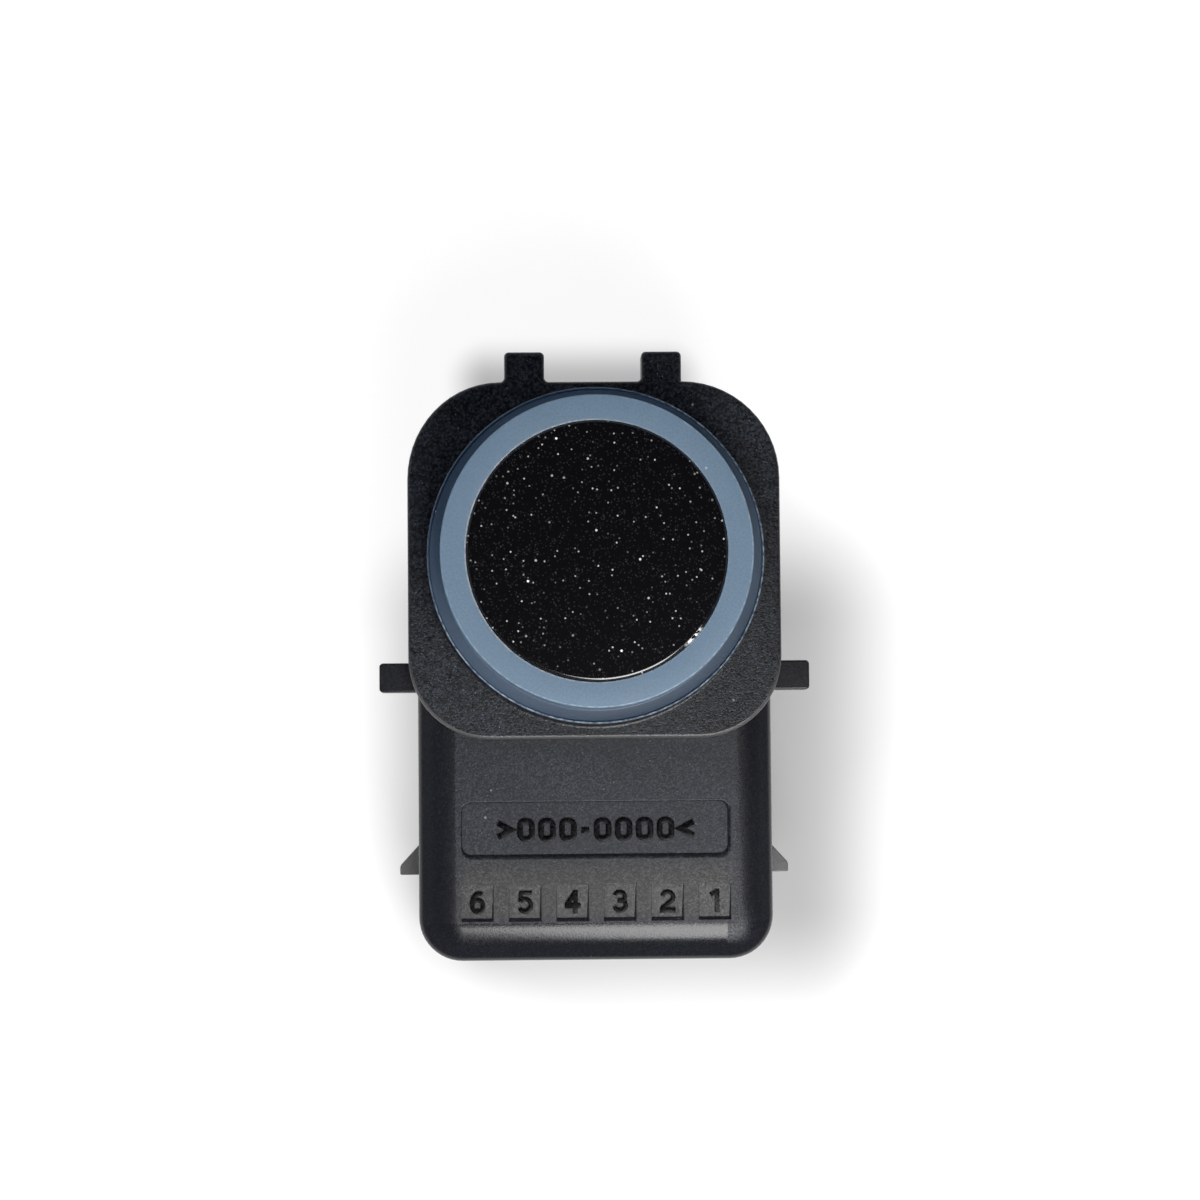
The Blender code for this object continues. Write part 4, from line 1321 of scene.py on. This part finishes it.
NUMBER_PATHS = {
    1: [[(0.13, -NUMBER_HALF), (0.13, NUMBER_HALF)], [(0.13, 0.60), (-0.30, 0.36)]],
    2: [arc((0.0, 0.245), (0.35, 0.35), 168, -32) + [(-0.36, -0.50)], [(-0.50, -wall), (0.50, -wall)]],
    3: [
        arc((-0.02, 0.31), (0.32, 0.285), 165, -75), arc((-0.01, -0.24), (0.36, 0.355), 72, -160),
        [(-0.16, 0.04), (0.12, 0.04)],
    ],
    4: [
        [(0.18, -NUMBER_HALF), (0.18, NUMBER_HALF)], [(0.14, 0.62), (-0.40, -0.26)],
        [(-0.50, -0.27), (0.50, -0.27)],
    ],
    5: [
        [(-0.34, wall), (0.42, wall)], [(-0.25, 0.70), (-0.31, 0.02)],
        arc((-0.02, -0.195), (0.38, 0.40), 138, -152),
    ],
    6: [arc((0.08, -0.16), (0.43, 0.755), 62, 182), arc((0.0, -0.215), (0.35, 0.38), 0, 348, 28)],
}
CLOSED_STROKES = {(6, 1)}


def make_number(number, x):
    """A raised number, centred on its pocket."""
    strokes = []
    for index, points in enumerate(NUMBER_PATHS[number]):
        placed = [(x + px, NUMBER_MIDDLE + py) for px, py in points]
        closed = (number, index) in CLOSED_STROKES
        strokes.append(fence(placed, NUMBER_FOOT, NUMBER_TOP, STROKE, closed))
    piece = join_strokes(f"number_{number}", strokes)
    soften_piece(piece, STROKE_ROUND, 2, sharp_at(NUMBER_TOP))
    return finish_piece(piece, number_nylon)


for number, x in enumerate(terminal_places, start=1):
    make_number(number, x)

# %% [markdown]
# ## The plate's mark
#
# The plate gets a plain row of rings and a dash between two chevrons, made with the same strokes.
# The row is laid out from left to right: each sign starts where the last one ended.

# %% Model the plate's mark
MARK_STROKE = 0.36
MARK_HEIGHT = 1.5
MARK_GAP = 0.22
MARK_RISE = 0.15
RING_SIGN = 1.12
RING_BEND = 0.3
DASH_SIGN = 0.66
CHEVRON_SIGN = 1.1
MARK_MIDDLE = (PLATE_LOW + PLATE_HIGH) / 2
mark_floor = BODY_FACE - PLATE_DEPTH
mark_top = mark_floor + MARK_RISE

signs = ["open", "ring", "ring", "ring", "dash", "ring", "ring", "ring", "ring", "close"]
sign_widths = {"open": CHEVRON_SIGN, "close": CHEVRON_SIGN, "ring": RING_SIGN, "dash": DASH_SIGN}
row_width = sum(sign_widths[sign] for sign in signs) + MARK_GAP * (len(signs) - 1)


def sign_path(sign, middle):
    """Path of one sign's stroke about its middle, and whether it is closed."""
    reach = sign_widths[sign] / 2 - MARK_STROKE / 2
    rise = MARK_HEIGHT / 2 - MARK_STROKE / 2
    if sign == "ring":
        path = []
        for cx, cy, start in ((1, 1, 90), (1, -1, 0), (-1, -1, -90), (-1, 1, -180)):
            centre = (middle + cx * (reach - RING_BEND), MARK_MIDDLE + cy * (rise - RING_BEND))
            path += arc(centre, (RING_BEND, RING_BEND), start, start - 90, 5)
        return path, True
    if sign == "dash":
        half, level = reach + 0.1, MARK_MIDDLE - 0.05
        return [(middle - half, level), (middle + half, level)], False
    way = 1 if sign == "open" else -1
    tip = (middle + way * reach, MARK_MIDDLE)
    tail = middle - way * (reach + 0.1)
    return [(tail, MARK_MIDDLE + rise * 0.8), tip, (tail, MARK_MIDDLE - rise * 0.8)], False


edge = -row_width / 2
for index, sign in enumerate(signs):
    path, closed = sign_path(sign, edge + sign_widths[sign] / 2)
    piece = fence(path, mark_floor - 0.05, mark_top, MARK_STROKE, closed)
    piece.name = f"plate_sign_{index + 1}"
    soften_piece(piece, STROKE_ROUND, 2, sharp_at(mark_top))
    finish_piece(piece, number_nylon)
    edge += sign_widths[sign] + MARK_GAP

# %% [markdown]
# ## Resin in the well
#
# The resin is poured in while the sensor lies on its face, so it climbs a little at the walls. The
# slab's rear face is inset a few times, and its points are moved in the farther they lie from the
# wall, which leaves a soft raised border.

# %% Model the potting
CLIMB = 0.35
CLIMB_WIDTH = 1.1
CLIMB_STEPS = 4

slab_low, slab_high = heights("potting")
slab_half = half_width("potting")
slab_start = from_axis(potting_low.y)
slab_end = from_axis(potting_high.y)
slab_box = rounded_box(-slab_half, slab_half, slab_start, slab_end, WELL_ROUND - WELL_MARGIN)
slab = moulded(slab_box, slab_low, slab_high)
for step in range(CLIMB_STEPS):
    rear = [face for face in slab.faces if face.normal.z < -0.7 and len(face.verts) > 8]
    inset = CLIMB_WIDTH / CLIMB_STEPS
    bmesh.ops.inset_region(slab, faces=rear, thickness=inset, use_even_offset=True)


def sink(vert):
    """How far a point of the rear face lies in, by its distance from the wall."""
    from_side = slab_half - abs(vert.co.x)
    from_end = min(vert.co.y - slab_start, slab_end - vert.co.y)
    share = min(max(min(from_side, from_end) / CLIMB_WIDTH, 0.0), 1.0)
    return CLIMB * (1 - (1 - share) ** 2)


for vert in slab.verts:
    if abs(vert.co.z - slab_low) < 1e-4:
        vert.co.z += sink(vert)
potting = as_object("resin_fill", slab)
tell(potting)


# %% Finish: black resin
RESIN_BLACK = (0.008, 0.008, 0.009)
RESIN_DUST = (0.35, 0.34, 0.33)


def make_resin():
    """Glossy black resin with a slow wave and a little dust."""
    finish, tree, shader = new_finish("black_resin")
    marks = use_group(tree, handling_group, Dust_Size=1.1, Dust_Share=0.06)
    feed(tree, shader, {
        "Base Color": over(tree, RESIN_BLACK, RESIN_DUST, marks["Dust"], 0.5),
        "Roughness": scaled(tree, marks["Rub"], 0.2, 0.14),
        "Normal": relief(tree, noise(tree, object_place(tree), 220.0, 1.0), 0.12),
    })
    return finish


finish_piece(potting, make_resin(), ["potting"])

# %% [markdown]
# ## Terminals
#
# The six pins are square wire, bent twice and tinned. Their tips are coined to a taper so that they
# find the plug's springs. They are the form of the slots without the clearance, and then their long
# edges are softened.

# %% Model the terminals
BOARD_REACH = 4.64


def make_terminal(number, x):
    """One bent pin with a tapered tip, from the frame's own box."""
    tip, level = heights(f"terminal_{number}")
    pin = terminal_shape(number, x, 0, tip, level - BOARD_REACH, steps=6)
    soften(pin, 0.05, 2, lambda edge: sharp(edge) and not at_height(tip)(edge))
    soften(pin, 0.16, 1, sharp_at(tip))
    return as_object(f"pin_{number}", pin)


# %% Finish: tin plate
TIN_COLOURS = (0.55, 0.54, 0.5), (0.78, 0.77, 0.74)


def make_tin():
    """Bright tin with the fine lines of drawn wire."""
    finish, tree, shader = new_finish("tin_plate")
    place = object_place(tree)
    along = add(tree, "Mapping", {"Vector": place, "Scale": (6000.0, 6000.0, 500.0)}).outputs[0]
    lines = noise(tree, along, 1.0, 2.0)
    feed(tree, shader, {
        "Base Color": tint(tree, noise(tree, place, 700.0, 3.0), *TIN_COLOURS),
        "Roughness": scaled(tree, lines, 0.25, 0.2),
        "Normal": relief(tree, lines, 0.003),
        "Metallic": 1.0,
    })
    return finish


tin_plate = make_tin()
for number, x in enumerate(terminal_places, start=1):
    finish_piece(make_terminal(number, x), tin_plate, [f"terminal_{number}"])

# %% [markdown]
# ## The parts inside
#
# Board, transformer, chips, disc and foam are sealed in and never seen, but the sensor can be taken
# apart in other scenes, so each keeps its solid and gets a finish of its own. One recipe with a
# colour, a second colour, a grain and a gloss is enough for all of them.

# %% Finishes for the inner parts


def dress(nodes, name, first, second, size, depth, roughness, metallic=0.0):
    """Give solids of the frame a two-tone finish with a fine relief."""
    finish, tree, shader = new_finish(name)
    grain = noise(tree, object_place(tree), 1 / (size * MM), 4.0)
    feed(tree, shader, {
        "Base Color": tint(tree, between(tree, grain, 0.35, 0.65), first, second),
        "Roughness": scaled(tree, grain, 0.2, roughness - 0.1),
        "Normal": relief(tree, grain, depth),
        "Metallic": metallic,
    })
    for node in nodes:
        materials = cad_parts[node].data.materials
        materials.clear()
        materials.append(finish)
    print(name, "on", len(nodes), "solids")


WIRES = ["piezo_lead_1", "piezo_lead_2", "transformer_winding"]
CHIPS = ["driver_chip", "bleed_resistor"]
TAN_PARTS = ["tuning_capacitor", "filter_capacitor"]
dress(["piezo_disc"], "fired_ceramic", (0.52, 0.48, 0.38), (0.68, 0.64, 0.52), 0.2, 0.005, 0.6)
dress(["damping_foam"], "open_foam", (0.03, 0.03, 0.035), (0.12, 0.12, 0.13), 0.35, 0.2, 0.95)
dress(["pot_filler"], "cast_silicone", (0.36, 0.36, 0.34), (0.46, 0.46, 0.44), 1.5, 0.02, 0.5)
dress(WIRES, "enamelled_copper", (0.5, 0.2, 0.1), (0.7, 0.32, 0.16), 0.3, 0.004, 0.35, 1.0)
dress(["circuit_board"], "green_laminate", (0.02, 0.12, 0.05), (0.04, 0.2, 0.09), 0.5, 0.006, 0.4)
dress(
    ["transformer_core"], "sintered_ferrite", (0.035, 0.035, 0.04), (0.07, 0.07, 0.075), 0.15, 0.01, 0.55,
)
dress(CHIPS, "chip_resin", (0.014, 0.014, 0.016), (0.028, 0.028, 0.03), 0.12, 0.004, 0.5)
dress(["storage_capacitor"], "amber_resin", (0.42, 0.24, 0.05), (0.56, 0.34, 0.08), 0.25, 0.004, 0.45)
dress(TAN_PARTS, "tan_ceramic", (0.34, 0.24, 0.15), (0.48, 0.35, 0.22), 0.2, 0.004, 0.45)

# %% [markdown]
# ## Floor
#
# The sensor lies on plain white paper. The white comes from the floor's own light towards the
# camera, to mirrors and through glass, and only the rest is lit by the lamps, so the paper stays
# white in the picture and still carries the soft shadow. That light is held back close to the sensor,
# most of all at its right side and at the upper tabs, where the photograph is grey: these patches are
# painted shadows. There is none underneath, where it would shine into the socket.

# %% Build the floor
FLOOR_HALF = 1.2
FLOOR_DROP = 0.00002
FLOOR_WHITE = 0.42
CLEAR_GLOW = 0.76
# Painted shadows: boxes where the floor's glow is held back.
PAINTED_FLOOR_SHADOWS = (
    {"middle": (3.0, -7.0, 0.0), "half": (10.5, 9.3, 1.0), "width": 10.0, "glow": 0.21},
    {"middle": (-0.8, 19.0, 0.0), "half": (6.0, 0.5, 1.0), "width": 3.4, "glow": 0.28},
)
FOOT_HALF = (9.0, 17.0, 1.0)
FOOT_EDGE = 1.0


def see_white(tree):
    """One where a ray comes from the camera, a mirror or glass."""
    path = add(tree, "LightPath", {}).outputs
    either = math_of(tree, "MAXIMUM", path["Is Camera Ray"], path["Is Glossy Ray"])
    return math_of(tree, "MAXIMUM", either, path["Is Transmission Ray"])


def distance_from(tree, place, middle, half):
    """Distance to a flat box round a point, zero inside it."""
    flat = vector_of(tree, "ABSOLUTE", vector_of(tree, "SUBTRACT", place, middle))
    past = vector_of(tree, "MAXIMUM", vector_of(tree, "SUBTRACT", flat, half))
    return vector_of(tree, "LENGTH", past)


def make_paper():
    """White paper that keeps shadows, with painted shadows held in its glow near the sensor."""
    finish, tree, shader = new_finish("white_paper")
    tree.nodes.remove(shader)
    paper = add(tree, "BsdfDiffuse", {"Color": (FLOOR_WHITE, FLOOR_WHITE, FLOOR_WHITE, 1)})
    place = in_mm(tree, object_place(tree))
    level = CLEAR_GLOW
    # Painted shadows: each box lowers the floor's glow near the sensor.
    for shade in PAINTED_FLOOR_SHADOWS:
        away = distance_from(tree, place, shade["middle"], shade["half"])
        own = between(tree, away, 0.0, shade["width"], shade["glow"], CLEAR_GLOW)
        level = math_of(tree, "MINIMUM", level, own)
    beside = between(tree, distance_from(tree, place, (0, 0, 0), FOOT_HALF), 0.0, FOOT_EDGE)
    glow = add(tree, "Emission", {"Strength": times(tree, see_white(tree), level, beside)})
    both = add(tree, "AddShader", {0: paper.outputs[0], 1: glow.outputs[0]})
    tree.links.new(both.outputs[0], tree.nodes["Material Output"].inputs["Surface"])
    return finish


floor_shape = bmesh.new()
bmesh.ops.create_grid(floor_shape, x_segments=1, y_segments=1, size=FLOOR_HALF)
floor = as_object("floor", floor_shape)
floor.location.z = -FLOOR_DROP
floor.data.materials.append(make_paper())
tell(floor)

# %% [markdown]
# ## Light
#
# The face of the pot is a mirror, and in the photograph it is black, so nothing bright hangs over the
# sensor. One soft lamp stands in front and a little to the right, and gives the crescent on the rim,
# the grey haze on the front face and the band on the lower fillet. A card in the same place adds to
# its reflections alone, and a weak fill from behind at the left lights only matt surfaces. The sky is
# dim overhead and paler at the horizon.

# %% Set up the lamps
LAMP_TARGET = Vector((0, -0.004, 0.012))
KEY_LIGHT = {
    "turn": math.radians(20), "tilt": math.radians(33), "distance": 0.105, "size": (0.052, 0.066),
}
FILL_LIGHT = {
    "turn": math.radians(-125), "tilt": math.radians(35), "distance": 0.3, "size": (0.12, 0.12),
}
KEY_POWER = 0.105
GLOSS_POWER = KEY_POWER * 0.4
FILL_POWER = 0.45


def add_lamp(name, power, turn, tilt, distance, size):
    """Oblong soft lamp; turn is from the front to the right and tilt is from the zenith."""
    light = bpy.data.lights.new(name, "AREA")
    light.shape = "RECTANGLE"
    light.size, light.size_y = size
    light.energy = power
    lamp = bpy.data.objects.new(name, light)
    bpy.context.scene.collection.objects.link(lamp)
    level = math.sin(tilt)
    way = Vector((math.sin(turn) * level, -math.cos(turn) * level, math.cos(tilt)))
    lamp.location = LAMP_TARGET + way * distance
    lamp.rotation_mode = "QUATERNION"
    lamp.rotation_quaternion = way.to_track_quat("Z", "Y")
    return lamp


add_lamp("key_lamp", KEY_POWER, **KEY_LIGHT)
add_lamp("gloss_card", GLOSS_POWER, **KEY_LIGHT).visible_diffuse = False
add_lamp("fill_lamp", FILL_POWER, **FILL_LIGHT).visible_glossy = False
print("lamps:", len(bpy.data.lights))

# %% Set up the sky
SKY_LOW = (0.13, 0.14, 0.165)
SKY_HIGH = (0.015, 0.015, 0.02)


def make_sky():
    """World that is dim overhead and paler at the horizon."""
    world = bpy.data.worlds.new("studio")
    world.use_nodes = True
    bpy.context.scene.world = world
    tree = world.node_tree
    way = add(tree, "TexCoord", {}).outputs["Generated"]
    shade = between(tree, parts_of(tree, way)["Z"], 0.15, 0.85)
    sky = tint(tree, shade, SKY_LOW, SKY_HIGH)
    feed(tree, tree.nodes["Background"], {"Color": sky, "Strength": 1.0})


make_sky()
print("world:", bpy.context.scene.world.name)

# %% [markdown]
# ## Camera
#
# The photograph was taken from about 200 mm above the flange, nearly straight down and a little
# towards the socket end, so the raised face shifts up against the flange behind it.

# %% Place the camera
CAMERA_PLACE = Vector((-4.50, -7.35, 216.5)) * MM
CAMERA_TURN = (0.0545, -0.0237, -0.0088)
CAMERA_LENS = 94.71

camera_data = bpy.data.cameras.new("camera")
camera_data.lens = CAMERA_LENS
camera_data.sensor_width = 36.0
camera_data.clip_start = 0.01
camera = bpy.data.objects.new("camera", camera_data)
camera.location = CAMERA_PLACE
camera.rotation_euler = CAMERA_TURN
bpy.context.scene.collection.objects.link(camera)
bpy.context.scene.camera = camera
bpy.context.scene.view_settings.view_transform = "Standard"
print("camera at", [round(part / MM, 1) for part in camera.location], "mm")
